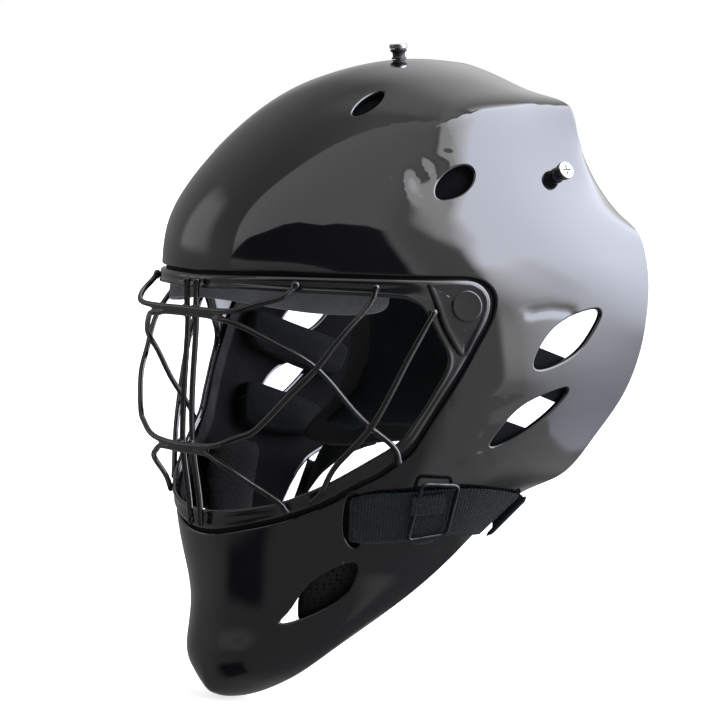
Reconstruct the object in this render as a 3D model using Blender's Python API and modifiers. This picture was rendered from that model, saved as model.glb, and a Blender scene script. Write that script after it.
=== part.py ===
"""Goalie face mask: moulded shell, bolted wire cage, foam liner, elastic harness.

Lengths in the tables are millimetres, measured from the middle of the cage's
top band (X to the wearer's left, Y to the rear, Z up).  Everything is moved so
that the origin is the middle of the wearer's head, and scaled to metres.
"""
import math
import bpy
import bmesh
import numpy as np
from mathutils import Vector, Matrix

for _o in list(bpy.data.objects):
    bpy.data.objects.remove(_o, do_unlink=True)

# ---------------------------------------------------------------- constants
MM = 0.001
HEAD = np.array([0.0, 95.0, -20.0])      # middle of the head, table coordinates
SHELL_T = 3.0                            # wall of the shell
GAP = 0.3                                # clearance between touching pieces
SHELL_ROWS, SHELL_COLS = 42, 14          # half-shell grid
RING_LOW, RING_T = -1.8, 2.5             # cage band: inner face level, thickness
WIRE_R = 1.45                            # cage wire radius
CLIP_T = 2.0                             # corner clip plate
STRAP_T = 1.5                            # webbing
STRAP_W = 26.0
GLIDE_R = 1.15                           # buckle wire radius

# rows run from the crown's rear edge, over the brow, down to the chin;
# columns from the centreline to the rear or lower edge
NET = np.array([
    [(0.00, 148.00, 102.50), (18.00, 148.70, 99.90), (37.00, 150.40, 94.20), (58.00, 153.00, 87.30), (79.10, 156.50, 80.60), (86.62, 157.22, 67.50), (89.04, 162.46, 51.95), (89.19, 171.42, 38.26)],
    [(0.00, 115.00, 103.80), (20.00, 116.20, 101.40), (41.00, 119.50, 96.00), (61.00, 126.00, 88.60), (78.30, 134.40, 79.59), (88.75, 146.16, 62.01), (93.41, 161.31, 42.99), (95.50, 179.23, 26.84)],
    [(0.00, 78.00, 96.50), (20.00, 79.50, 95.00), (41.00, 83.50, 91.00), (61.25, 90.33, 83.80), (78.94, 100.25, 74.29), (92.21, 122.41, 53.57), (99.66, 151.55, 33.10), (102.28, 185.20, 17.37)],
    [(0.00, 46.00, 80.00), (21.00, 47.00, 78.60), (43.00, 51.50, 73.80), (64.21, 60.03, 65.20), (82.99, 75.07, 53.05), (100.22, 103.97, 32.77), (109.56, 139.77, 12.92), (109.39, 185.18, -2.97)],
    [(0.00, 19.00, 56.00), (22.00, 20.30, 54.80), (45.00, 26.00, 51.00), (67.84, 37.95, 43.52), (87.62, 59.67, 30.14), (105.69, 93.94, 12.01), (113.98, 135.68, -6.34), (113.21, 180.80, -21.77)],
    [(0.00, 3.00, 30.00), (22.00, 4.00, 29.00), (46.00, 9.50, 26.30), (69.34, 22.96, 21.54), (90.14, 47.70, 10.72), (108.21, 84.98, -4.84), (115.50, 129.71, -21.71), (112.71, 177.80, -36.74)],
    [(0.00, -2.00, 2.00), (22.00, -1.00, 1.40), (46.00, 5.00, -1.00), (69.84, 19.46, -5.44), (91.64, 44.71, -11.70), (109.22, 81.01, -24.17), (115.51, 123.75, -41.04), (109.72, 169.82, -57.68)],
    [(0.00, -3.00, -31.00), (22.00, -1.80, -31.50), (46.00, 4.80, -33.30), (69.30, 19.49, -35.93), (90.93, 43.85, -40.11), (107.53, 78.39, -49.50), (112.36, 116.17, -63.90), (103.60, 155.96, -78.65)],
    [(0.00, -2.00, -65.00), (21.00, -0.60, -65.60), (43.00, 6.20, -67.30), (65.60, 21.21, -69.73), (86.47, 44.00, -72.82), (100.51, 73.04, -79.56), (104.10, 106.90, -88.51), (96.99, 141.48, -95.50)],
    [(0.00, -0.50, -98.00), (20.00, 0.80, -98.60), (41.00, 7.40, -100.20), (60.28, 20.62, -101.96), (77.41, 40.57, -104.38), (88.33, 63.70, -107.47), (92.79, 88.65, -109.47), (91.95, 115.30, -105.85)],
    [(0.00, -0.50, -128.00), (17.00, 1.00, -128.70), (34.50, 7.50, -130.30), (50.08, 19.45, -131.69), (62.91, 35.73, -133.73), (71.49, 54.34, -135.32), (76.98, 71.33, -135.82), (80.28, 88.80, -132.95)],
    [(0.00, 2.50, -155.00), (14.00, 3.80, -155.70), (28.50, 9.50, -157.60), (41.00, 18.60, -159.80), (50.50, 30.80, -162.00), (57.00, 42.00, -163.20), (60.50, 52.50, -163.00), (62.00, 63.00, -160.00)],
    [(0.00, 0.60, -176.00), (13.00, 1.30, -177.50), (25.00, 5.20, -180.00), (34.00, 12.00, -182.50), (39.50, 21.00, -184.00), (42.00, 29.00, -184.40), (42.50, 36.00, -184.00), (41.00, 42.00, -181.50)],
    [(0.00, -0.80, -188.50), (8.50, 0.40, -190.50), (16.00, 4.20, -193.00), (21.00, 9.50, -194.80), (24.00, 15.50, -195.80), (25.50, 22.00, -196.00), (25.50, 28.00, -195.50), (24.00, 34.00, -193.50)],
    [(0.00, 0.20, -195.50), (0.00, 2.40, -199.60), (0.00, 6.00, -202.20), (0.00, 10.00, -203.60), (0.00, 14.50, -204.10), (0.00, 18.50, -204.00), (0.00, 22.50, -203.20), (0.00, 27.00, -201.60)],
], float)

# soft crease from the crown's rear corner forward over the temple
RIDGE = np.array([(81.5, 157.9, 79.5), (77.2, 134.5, 80.0), (77.7, 98.4, 75.6), (75.0, 80.6, 69.0), (74.3, 70.7, 63.0)], float)
RIDGE_H, RIDGE_W = 1.6, 9.0

# half outlines on the shell's outer surface, centreline first
OPENING = [(0.0, -2.0, 2.2), (20.0, -0.9, 2.6), (38.7, 3.1, 3.0), (63.4, 15.1, 3.1), (80.6, 31.4, 2.6), (93.2, 50.8, 1.8), (100.8, 68.1, 1.3),
           (105.1, 81.9, 0.8), (107.9, 88.8, -2.0), (109.6, 92.2, -6.4), (110.5, 92.1, -12.3), (110.6, 89.2, -20.0), (109.8, 83.1, -30.0),
           (108.1, 77.4, -40.5), (104.1, 69.1, -55.8), (100.1, 63.4, -66.9), (96.1, 58.7, -76.9), (92.1, 54.2, -83.6), (84.6, 45.4, -92.0),
           (78.1, 38.3, -96.8), (71.2, 31.8, -102.2), (63.6, 25.3, -107.1), (56.1, 19.4, -110.8), (46.9, 13.2, -114.4), (36.5, 7.4, -117.5),
           (25.1, 2.7, -120.2), (13.9, 0.1, -122.4), (0.0, -0.7, -123.4)]
BAND_OUT = [(0.0, -2.2, 0.6), (20.0, -1.2, 1.0), (38.5, 2.9, 1.3), (62.9, 15.0, 1.4), (80.0, 31.3, 1.0), (92.7, 50.8, 0.3), (100.3, 67.7, -0.3),
            (104.5, 80.9, -0.8), (107.2, 86.9, -3.3), (108.8, 89.6, -7.7), (109.7, 89.6, -12.6), (109.9, 87.0, -19.6), (109.0, 81.3, -29.1),
            (107.4, 75.8, -39.5), (103.4, 67.4, -54.5), (99.4, 61.9, -65.4), (95.3, 57.1, -75.2), (90.9, 52.3, -82.1), (83.7, 44.1, -90.2),
            (77.1, 37.1, -95.0), (70.4, 30.7, -100.3), (62.9, 24.5, -105.1), (55.4, 18.6, -108.8), (46.3, 12.6, -112.3), (36.0, 7.0, -115.4),
            (24.8, 2.5, -118.2), (13.7, -0.0, -120.4), (0.0, -0.8, -121.4)]
BAND_IN = [(0.0, -2.5, -6.2), (20.0, -1.4, -5.8), (39.0, 2.8, -5.4), (63.8, 14.9, -6.1), (81.0, 30.9, -6.9), (93.4, 48.7, -8.1), (96.6, 54.1, -9.2),
           (98.6, 57.3, -11.3), (100.0, 59.7, -14.3), (101.3, 61.7, -18.0), (102.6, 63.8, -22.6), (103.9, 66.3, -28.3), (105.2, 69.1, -35.2),
           (104.6, 68.2, -42.2), (102.3, 64.3, -50.2), (99.7, 60.2, -58.4), (96.1, 55.6, -67.0), (92.0, 51.3, -74.5), (85.1, 43.8, -81.2),
           (78.1, 36.3, -87.2), (69.9, 28.4, -93.6), (61.3, 21.3, -98.8), (50.3, 13.9, -104.1), (42.0, 9.2, -106.6), (33.0, 5.1, -108.5),
           (24.0, 2.4, -110.0), (12.0, -0.0, -111.4), (0.0, -0.8, -112.0)]
CLIP = [(98.5, 61.3, -1.8), (102.6, 73.1, -1.9), (105.5, 81.7, -2.6), (107.4, 85.8, -5.1), (108.6, 87.8, -8.9), (109.4, 87.5, -13.7),
        (109.6, 85.1, -19.6), (109.0, 81.0, -27.7), (108.0, 77.5, -34.7), (107.1, 74.5, -35.5), (105.8, 71.5, -30.2), (104.2, 67.7, -22.9),
        (103.1, 66.1, -18.4), (102.2, 65.3, -14.4), (101.1, 63.9, -10.1)]
CLIP_SCREW = (106.7, 77.5, -12.3)

VENT_A = [(44.6, 56.3, 76.5), (47.6, 58.3, 76.3), (49.2, 64.0, 79.4), (47.4, 70.9, 83.4), (43.6, 74.9, 86.8), (41.0, 73.8, 87.6), (39.9, 67.5, 84.9),
          (41.5, 60.0, 80.3)]
VENT_B = [(88.7, 74.1, 38.0), (90.9, 77.9, 36.8), (92.4, 85.6, 39.2), (91.7, 92.2, 44.7), (89.4, 93.7, 49.9), (87.3, 90.0, 51.7), (86.2, 82.3, 49.3),
          (86.8, 75.8, 43.5)]
VENT_C = [(114.4, 111.5, -39.8), (114.6, 115.8, -42.4), (115.3, 126.9, -39.7), (115.3, 138.0, -33.8), (115.1, 146.6, -24.5), (114.5, 150.4, -16.3),
          (114.9, 141.2, -16.2), (114.9, 130.7, -19.2), (114.8, 121.8, -24.5), (114.7, 115.1, -32.0)]
VENT_D = [(106.8, 92.7, -78.0), (108.0, 99.3, -77.1), (110.1, 110.8, -71.3), (111.8, 122.5, -63.2), (112.8, 129.7, -56.6), (113.3, 131.6, -52.1),
          (113.3, 122.6, -53.4), (112.5, 110.3, -57.7), (110.9, 101.5, -64.2), (108.7, 95.8, -71.8)]
VENT_E = [(39.9, 18.0, -163.5), (45.6, 23.9, -162.4), (56.3, 36.0, -155.0), (63.2, 43.2, -146.5), (67.5, 44.2, -136.9), (66.4, 41.2, -133.9),
          (60.9, 34.4, -136.9), (53.7, 27.9, -143.0), (47.4, 23.6, -151.6), (43.0, 20.4, -159.0)]
SLOT = [(75.0, 35.3, -99.4), (72.5, 33.8, -105.9), (70.6, 34.1, -113.5), (69.5, 35.7, -120.7), (69.6, 39.1, -125.7), (71.3, 42.0, -126.3),
        (72.8, 41.9, -121.8), (74.1, 40.6, -112.8), (76.7, 39.1, -103.0), (76.9, 37.7, -100.0)]

# cage wires, half paths (wearer's left); a fourth number is a height above the shell's surface
WIRE_UPPER = [(62.8, 14.2, -2.6, 2.55), (63.9, 8.4, -6.0), (61.2, 3.3, -9.0), (52.5, -4.0, -12.0), (43.5, -8.0, -14.6), (26.0, -9.0, -15.4),
              (0.0, -9.2, -15.4)]
WIRE_DIAG = [(27.0, -8.6, -19.0), (34.0, -8.4, -19.3), (46.0, -3.4, -22.8), (63.3, 6.0, -31.2), (74.3, 17.6, -40.9), (80.5, 28.5, -55.2),
             (84.9, 39.5, -67.8), (90.3, 49.1, -76.9, 2.35), (90.7, 51.5, -83.9, 2.75)]
WIRE_MAIN = [(88.2, 40.7, -3.4, 2.55), (89.6, 35.4, -11.8), (86.4, 24.2, -24.0), (78.5, 14.0, -40.3), (69.9, 5.7, -52.0), (55.6, -2.6, -68.0),
             (46.5, -6.2, -72.9), (37.5, -9.0, -76.2), (24.0, -11.0, -79.4), (0.0, -11.8, -80.6)]
WIRE_LOWER = [(22.0, -10.8, -83.0), (28.0, -9.6, -85.4), (36.5, -6.0, -90.0), (44.5, 3.4, -98.0), (50.3, 13.4, -104.4, 2.90),
              (52.3, 15.3, -108.2, 2.70)]
WIRE_OUTER = [(101.7, 63.3, -14.8, 2.75), (100.9, 58.9, -22.0, 2.90), (97.7, 48.5, -41.9), (87.9, 37.7, -68.1), (74.6, 27.8, -85.9),
              (66.6, 26.2, -97.5, 2.90), (62.1, 22.8, -103.5, 2.65)]
BAR = [(4.6, -5.6, -2.6), (4.4, -5.8, -8.0), (4.1, -5.7, -15.4), (3.9, -5.6, -24.0), (3.9, -7.0, -42.0), (4.0, -8.2, -61.0), (4.6, -8.3, -79.0),
       (4.8, -7.0, -92.0), (4.9, -5.2, -104.0), (4.7, -4.3, -113.0), (4.4, -4.1, -118.0)]

# screw studs: foot on the outer surface, height of sleeve
CROWN_STUD = (0.0, 113.4, 103.7)
SIDE_STUD = (94.6, 139.8, 47.4)
SLEEVE_H, CAP_H, CAP_R, SLEEVE_R, SHANK_R = 4.6, 2.2, 4.4, 3.1, 1.7

# foam liner: first and last row of NET, first and last fraction across, rows, cols, distance in from the outer surface, thickness
PADS = {
    "forehead_pad": (1.76, 4.09, -0.44, 0.44, 7, 12, 3.9, 10.0),
    "sweatband": (5.00, 6.40, -0.575, 0.575, 4, 16, 3.9, 6.5),
    "crown_pad_left": (0.29, 1.53, 0.13, 0.52, 5, 5, 3.9, 9.0),
    "temple_pad_left": (2.15, 4.36, 0.50, 0.72, 6, 5, 4.5, 9.0),
    "ear_pad_left": (5.88, 6.57, 0.745, 0.945, 3, 7, 3.9, 9.0),
    "rear_pad_left": (7.51, 8.16, 0.73, 0.93, 4, 6, 3.9, 9.0),
    "jaw_pad_left": (8.40, 11.02, (0.66, 0.46), (0.83, 0.76), 8, 8, 9.0, 8.5),
    "chin_cup": (10.40, 11.77, -0.40, 0.40, 5, 9, 4.6, 10.0),
}

# webbing paths: (middle point, width direction, width)
LOWER_OUT = [((68.9, 41.3, -112.4), (-0.11, 0.06, -0.99), 20.0),
             ((71.3, 38.6, -112.2), (-0.13, 0.06, -0.99), 20.0),
             ((74.6, 37.5, -112.0), (-0.18, 0.06, -0.98), 22.0),
             ((80.0, 44.5, -111.3), (-0.28, 0.11, -0.95), 25.5),
             ((85.3, 58.1, -110.0, 2.3), (-0.34, 0.13, -0.93), 26.0),
             ((90.2, 70.5, -108.8, 1.9), (-0.40, 0.11, -0.91), 26.0),
             ((92.9, 82.4, -108.4, 1.9), (-0.45, 0.05, -0.89), 26.0),
             ((93.0, 95.0, -109.6, 1.9), (-0.47, -0.22, -0.85), 26.5),
             ((90.1, 108.5, -111.9, 1.9), (-0.42, -0.58, -0.70), 27.5)]
BUCKLE = [(98.2, 59.9, -94.5), (102.9, 77.3, -95.8), (92.1, 77.6, -119.7), (86.8, 59.2, -121.9)]   # corners of the wire loop
LOWER_IN = [((90.9, 113.1, -113.9), (-0.39, -0.58, -0.72), 27.0),
            ((88.2, 116.4, -114.0), (-0.39, -0.58, -0.72), 23.5),
            ((84.2, 117.2, -109.9), (-0.33, -0.49, -0.81), 20.0),
            ((77.1, 119.1, -101.5), (-0.11, -0.29, -0.95), 19.0),
            ((69.0, 123.0, -94.5), (0.05, -0.10, -1.00), 18.0),
            ((60.0, 128.6, -88.5), (0.10, 0.00, -1.00), 18.0),
            ((52.0, 135.2, -85.0), (0.10, 0.00, -1.00), 18.0)]
SIDE_IN = [((84.8, 135.8, 45.1), (0.08, 0.14, -0.99), 20.0),
           ((82.1, 139.1, 43.7), (0.09, 0.14, -0.99), 20.0),
           ((67.6, 142.2, 38.0), (0.14, 0.02, -0.99), 20.0),
           ((55.0, 144.0, 33.0), (0.15, 0.00, -1.00), 20.0),
           ((44.0, 146.0, 28.0), (0.15, 0.00, -1.00), 20.0),
           ((36.0, 150.0, 24.5), (0.15, 0.00, -1.00), 20.0)]
CROWN_IN = [((0.0, 110.0, 93.0), (1, 0, 0), 22.0),
            ((0.0, 124.0, 92.6), (1, 0, 0), 22.0),
            ((0.0, 139.0, 87.0), (1, 0, 0), 22.0),
            ((0.0, 150.5, 74.0), (1, 0, 0), 22.0),
            ((0.0, 157.6, 58.0), (1, 0, 0), 22.0),
            ((0.0, 160.8, 42.0), (1, 0, 0), 22.0),
            ((0.0, 161.2, 29.0), (1, 0, 0), 22.0)]
PLATE_Y, PLATE_BOW = 156.0, 58.0          # front face of the back plate on the centreline, how far it wraps forward
PLATE_W = [71, 74.5, 66, 59.5, 57.5, 57, 56, 53.5, 46]   # half widths, bottom row to top
PLATE_TOP, PLATE_LOW, PLATE_DROP = 38.0, -90.0, 18.0


# ---------------------------------------------------------------- maths
def spline(P, t):
    """Natural cubic through P at parameters 0..n-1."""
    n = len(P)
    A = np.zeros((n, n))
    B = np.zeros((n, n))
    A[0, 0] = A[-1, -1] = 1
    for i in range(1, n - 1):
        A[i, i - 1], A[i, i], A[i, i + 1] = 1, 4, 1
        B[i, i - 1], B[i, i], B[i, i + 1] = 6, -12, 6
    M = np.linalg.solve(A, B @ P.reshape(n, -1)).reshape(P.shape)
    i = np.clip(np.floor(t).astype(int), 0, n - 2)
    f = (t - i).reshape((-1,) + (1,) * (P.ndim - 1))
    return (1 - f) * P[i] + f * P[i + 1] + ((1 - f) ** 3 - (1 - f)) * M[i] / 6 + (f ** 3 - f) * M[i + 1] / 6


def flip(P):
    Q = np.array(P, float)
    Q[..., 0] *= -1
    return Q


_E = np.concatenate([NET, flip(NET[-2:-5:-1])], 0)
_E = np.concatenate([flip(_E[:, :0:-1]), _E], 1)
NU, NV = NET.shape[0] - 1, NET.shape[1] - 1


def base(us, vs):
    R = spline(_E, np.asarray(us, float) * NU)
    C = spline(np.swapaxes(R, 0, 1), NV + np.asarray(vs, float) * NV)
    return np.swapaxes(C, 0, 1)


def normals(us, vs):
    h = 1e-4
    us = np.asarray(us, float)
    vs = np.asarray(vs, float)
    du = base(us + h, vs) - base(us - h, vs)
    dv = base(us, vs + h) - base(us, vs - h)
    n = np.cross(dv, du)
    n /= np.linalg.norm(n, axis=-1, keepdims=True) + 1e-12
    out = base(us, vs) - np.array([0, 90, -45.0])
    return n * np.where(np.sum(n * out, -1, keepdims=True) < 0, -1, 1)


def seg_dist(P, line):
    """Distance of points to a polyline and the fraction of its length there."""
    best = np.full(P.shape[:-1], 1e9)
    frac = np.zeros(P.shape[:-1])
    n = len(line) - 1
    for k in range(n):
        a, b = line[k], line[k + 1]
        t = np.clip(((P - a) @ (b - a)) / ((b - a) @ (b - a)), 0, 1)
        d = np.linalg.norm(P - (a + t[..., None] * (b - a)), axis=-1)
        frac = np.where(d < best, (k + t) / n, frac)
        best = np.minimum(best, d)
    return best, frac


def lifted(us, vs, d):
    """Outer surface moved out by d along its normal, with the crease."""
    S = base(us, vs)
    N = normals(us, vs)
    A = S * [1, 1, 1]
    A[..., 0] = np.abs(A[..., 0])
    r, fr = seg_dist(A, RIDGE)
    bump = RIDGE_H * np.exp(-r / RIDGE_W) * np.clip((1 - fr) * 3, 0, 1)
    return S + N * (d + bump)[..., None]


_su, _sv = np.linspace(0, 1, 261), np.linspace(0, 1, 131)
_SG, _SN = base(_su, _sv), normals(_su, _sv)


def on_surface(p, d):
    """Nearest point of the wearer's-left half surface to p, moved out by d."""
    p = np.asarray(p, float)
    q = np.array([abs(p[0]), p[1], p[2]])
    k = np.unravel_index(np.argmin(np.sum((_SG - q) ** 2, -1)), _SG.shape[:2])
    n = _SN[k]
    r = q + n * (d - (q - _SG[k]) @ n)
    if abs(p[0]) < 0.01:
        r[0], n = 0.0, np.array([0, n[1], n[2]]) / math.hypot(n[1], n[2])
    if p[0] < 0:
        r, n = flip(r), flip(n)
    return r, n


def world(P):
    return (np.asarray(P, float) - HEAD) * MM


def path(points, count):
    """Evenly spaced points along a smooth curve through the given ones."""
    P = np.array([on_surface(p[:3], p[3])[0] if len(p) == 4 else p for p in points], float)
    t = np.linspace(0, len(P) - 1, 40 * len(P))
    Q = spline(P, t)
    s = np.concatenate([[0], np.cumsum(np.linalg.norm(np.diff(Q, axis=0), axis=1))])
    w = np.linspace(0, s[-1], count)
    return np.stack([np.interp(w, s, Q[:, k]) for k in range(3)], 1)


def both(half):
    """Closed loop from a half outline that starts and ends on the centreline."""
    h = np.asarray(half, float)
    return np.concatenate([h, flip(h[-2:0:-1])], 0)


# ---------------------------------------------------------------- materials
def material(name, colour, rough, metal=0.0, coat=0.0):
    m = bpy.data.materials.new(name)
    m.use_nodes = True
    b = m.node_tree.nodes["Principled BSDF"]
    b.inputs["Base Color"].default_value = (*colour, 1)
    b.inputs["Roughness"].default_value = rough
    b.inputs["Metallic"].default_value = metal
    b.inputs["Coat Weight"].default_value = coat
    return m


M_SHELL = material("shell_gloss", (0.012, 0.012, 0.014), 0.12, 0, 0.6)
M_FRAME = material("cage_frame_gloss", (0.015, 0.015, 0.017), 0.15, 0, 0.5)
M_WIRE = material("cage_wire_black", (0.02, 0.02, 0.022), 0.22, 0.2, 0.4)
M_CLIP = material("clip_plastic", (0.02, 0.02, 0.022), 0.25)
M_STEEL = material("bright_steel", (0.72, 0.72, 0.72), 0.25, 1)
M_SLEEVE = material("sleeve_black", (0.02, 0.02, 0.02), 0.4)
M_FOAM = material("liner_foam", (0.06, 0.065, 0.07), 0.95)
M_FELT = material("brow_felt", (0.22, 0.23, 0.23), 0.98)
M_MESH = material("liner_mesh", (0.03, 0.03, 0.035), 0.9)
M_WEB = material("webbing_elastic", (0.07, 0.10, 0.10), 0.9)
M_WIREB = material("buckle_steel", (0.10, 0.11, 0.12), 0.3, 0.8)
M_PLATE = material("plate_plastic", (0.02, 0.02, 0.022), 0.45)
M_PAD = material("chin_soft", (0.03, 0.035, 0.04), 0.85)


# ---------------------------------------------------------------- builders
def link(name, mesh, mat, smooth=True):
    ob = bpy.data.objects.new(name, mesh)
    bpy.context.scene.collection.objects.link(ob)
    if mat is not None:
        mesh.materials.append(mat)
    if smooth:
        for p in mesh.polygons:
            p.use_smooth = True
    return ob


CUTTERS = bpy.data.collections.new("cutters")
bpy.context.scene.collection.children.link(CUTTERS)


def cutter(name, mesh):
    ob = bpy.data.objects.new(name, mesh)
    CUTTERS.objects.link(ob)
    ob.hide_render = True
    ob.display_type = 'WIRE'
    return ob


def subtract(ob, cut):
    m = ob.modifiers.new("cut_" + cut.name, 'BOOLEAN')
    m.operation = 'DIFFERENCE'
    m.solver = 'EXACT'
    m.object = cut


def sheet_grid(P):
    """Open quad sheet over a grid of table points (rows, cols, 3)."""
    nu, nv = P.shape[:2]
    bm = bmesh.new()
    bmesh.ops.create_grid(bm, x_segments=nu - 1, y_segments=nv - 1, size=1.0)
    bm.verts.ensure_lookup_table()
    key = sorted(range(len(bm.verts)), key=lambda i: (round(bm.verts[i].co.x, 5), round(bm.verts[i].co.y, 5)))
    W = world(P).reshape(-1, 3)
    for k, i in enumerate(key):
        bm.verts[i].co = Vector(W[k])
    return bm


def orient(bm, outward_from):
    bm.normal_update()
    c = Vector(world(outward_from))
    s = 0.0
    for f in bm.faces:
        s += f.normal.dot(f.calc_center_median() - c) * f.calc_area()
    if s < 0:
        bmesh.ops.reverse_faces(bm, faces=bm.faces[:])


def solidify(ob, mm, offset, group=None, low=1.0):
    s = ob.modifiers.new("wall", 'SOLIDIFY')
    s.thickness = mm * MM
    s.offset = offset
    s.use_even_offset = group is None
    s.use_quality_normals = True
    if group:
        s.vertex_group = group
        s.thickness_vertex_group = low
    return s


def tube(name, pts, r, mat, cyclic=False, res=2):
    cu = bpy.data.curves.new(name, 'CURVE')
    cu.dimensions = '3D'
    cu.bevel_depth = r * MM
    cu.bevel_resolution = res
    cu.use_fill_caps = not cyclic
    sp = cu.splines.new('POLY')
    sp.points.add(len(pts) - 1)
    for p, q in zip(sp.points, world(pts)):
        p.co = (*q, 1)
    sp.use_cyclic_u = cyclic
    sp.use_smooth = True
    cu.materials.append(mat)
    ob = bpy.data.objects.new(name, cu)
    bpy.context.scene.collection.objects.link(ob)
    return ob


def axis_matrix(p, n):
    z = Vector(n).normalized()
    x = Vector((0, 0, 1)).cross(z)
    if x.length < 0.2:
        x = Vector((1, 0, 0))
    x = (x - z * x.dot(z)).normalized()
    y = z.cross(x)
    return Matrix.Translation(Vector(world(p))) @ Matrix((x, y, z)).transposed().to_4x4()


def turned(name, p, n, prof, mat, steps=24):
    """Solid of revolution about n at p; prof is (radius, height) from the axis at the foot round to the axis."""
    me = bpy.data.meshes.new(name)
    v = [(r * MM, 0, h * MM) for r, h in reversed(prof)]
    me.from_pydata(v, [(i, i + 1) for i in range(len(v) - 1)], [])
    ob = link(name, me, mat)
    ob.matrix_world = axis_matrix(p, n)
    s = ob.modifiers.new("turn", 'SCREW')
    s.axis = 'Z'
    s.steps = steps
    s.render_steps = steps
    s.use_merge_vertices = True
    s.merge_threshold = 0.00001
    return ob


def prism_cutter(name, outline, depth_out, depth_in, n=None):
    """Straight cutter through the shell along the outline's mean normal."""
    P = np.asarray(outline, float)
    c = P.mean(0)
    if n is None:
        n = on_surface(c, 0)[1]
    z = Vector(n).normalized()
    x = Vector((0, 0, 1)).cross(z).normalized()
    y = z.cross(x)
    bm = bmesh.new()
    rings = []
    for h in (-depth_in, depth_out):
        ring = []
        for q in P:
            d = Vector(q - c)
            w = Vector(c) + x * d.dot(x) + y * d.dot(y) + z * h
            ring.append(bm.verts.new(Vector(world(w))))
        rings.append(ring)
    k = len(P)
    bm.faces.new(rings[0])
    bm.faces.new(rings[1])
    for i in range(k):
        bm.faces.new((rings[0][i], rings[0][(i + 1) % k], rings[1][(i + 1) % k], rings[1][i]))
    bmesh.ops.recalc_face_normals(bm, faces=bm.faces)
    me = bpy.data.meshes.new(name)
    bm.to_mesh(me)
    bm.free()
    return cutter(name, me)


def cone_cutter(name, loop, apex, k0, k1):
    """Cutter that follows a closed loop in and out, seen from the apex, then runs straight forward."""
    L = np.asarray(loop, float)
    A = np.asarray(apex, float)
    inner, outer = A + (L - A) * k0, A + (L - A) * k1
    front = outer + [0, -90.0, 0]
    bm = bmesh.new()
    rings = [[bm.verts.new(Vector(world(q))) for q in R] for R in (inner, outer, front)]
    n = len(L)
    for r, c in ((rings[0], inner.mean(0)), (rings[2], front.mean(0) + [0, -60.0, 0])):
        m = bm.verts.new(Vector(world(c)))
        for i in range(n):
            bm.faces.new((r[i], r[(i + 1) % n], m))
    for p, q in ((rings[0], rings[1]), (rings[1], rings[2])):
        for i in range(n):
            bm.faces.new((p[i], p[(i + 1) % n], q[(i + 1) % n], q[i]))
    bmesh.ops.recalc_face_normals(bm, faces=bm.faces)
    me = bpy.data.meshes.new(name)
    bm.to_mesh(me)
    bm.free()
    return cutter(name, me)


# ---------------------------------------------------------------- shell
us = np.linspace(0, 1, SHELL_ROWS + 1)
vs = np.linspace(0, 1, SHELL_COLS + 1)
P = lifted(us, vs, np.zeros((len(us), len(vs))))
P[:, 0, 0] = 0.0
P[-1, :, 0] = 0.0
bm = sheet_grid(P)
orient(bm, (20, 95, -40))
me = bpy.data.meshes.new("shell")
bm.to_mesh(me)
bm.free()
shell = link("shell", me, M_SHELL)
shell.modifiers.new("mirror", 'MIRROR').merge_threshold = 0.00002
shell.modifiers["mirror"].use_clip = True
solidify(shell, SHELL_T, -1.0)
subtract(shell, cone_cutter("cut_opening", both(OPENING), (0, 95, -50), 0.80, 1.22))
for tag, sgn in (("left", 1), ("right", -1)):
    for key, out in (("a", VENT_A), ("b", VENT_B), ("c", VENT_C), ("d", VENT_D), ("e", VENT_E), ("slot", SLOT)):
        O = np.asarray(out, float) * [sgn, 1, 1]
        subtract(shell, prism_cutter("cut_%s_%s" % (key, tag), O, 6.0, 9.0))
    f, n = on_surface(np.array(SIDE_STUD) * [sgn, 1, 1], 0)
    k = 16
    a = axis_matrix(f, n).to_3x3()
    ring = [(np.asarray(f) + 2.1 * (math.cos(t) * np.array(a.col[0]) + math.sin(t) * np.array(a.col[1]))) for t in np.linspace(0, 2 * math.pi, k, endpoint=False)]
    subtract(shell, prism_cutter("cut_stud_" + tag, ring, 6.0, 9.0, n))
f, n = np.array(CROWN_STUD), np.array([0, -0.07, 1.0])
ring = [f + 2.1 * np.array([math.cos(t), math.sin(t), 0]) for t in np.linspace(0, 2 * math.pi, 16, endpoint=False)]
subtract(shell, prism_cutter("cut_stud_crown", ring, 6.0, 9.0, n))


# ---------------------------------------------------------------- cage band and clips
def strip(name, outer, inner, low, thick, mat):
    A = np.array([on_surface(p, low)[0] for p in both(outer)])
    B = np.array([on_surface(p, low)[0] for p in both(inner)])
    bm = bmesh.new()
    va = [bm.verts.new(Vector(world(p))) for p in A]
    vb = [bm.verts.new(Vector(world(p))) for p in B]
    n = len(va)
    for i in range(n):
        bm.faces.new((va[i], va[(i + 1) % n], vb[(i + 1) % n], vb[i]))
    orient(bm, (0, 95, -50))
    me = bpy.data.meshes.new(name)
    bm.to_mesh(me)
    bm.free()
    ob = link(name, me, mat)
    solidify(ob, thick, 1.0)
    return ob


strip("cage_band", BAND_OUT, BAND_IN, RING_LOW, RING_T, M_FRAME)

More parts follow.
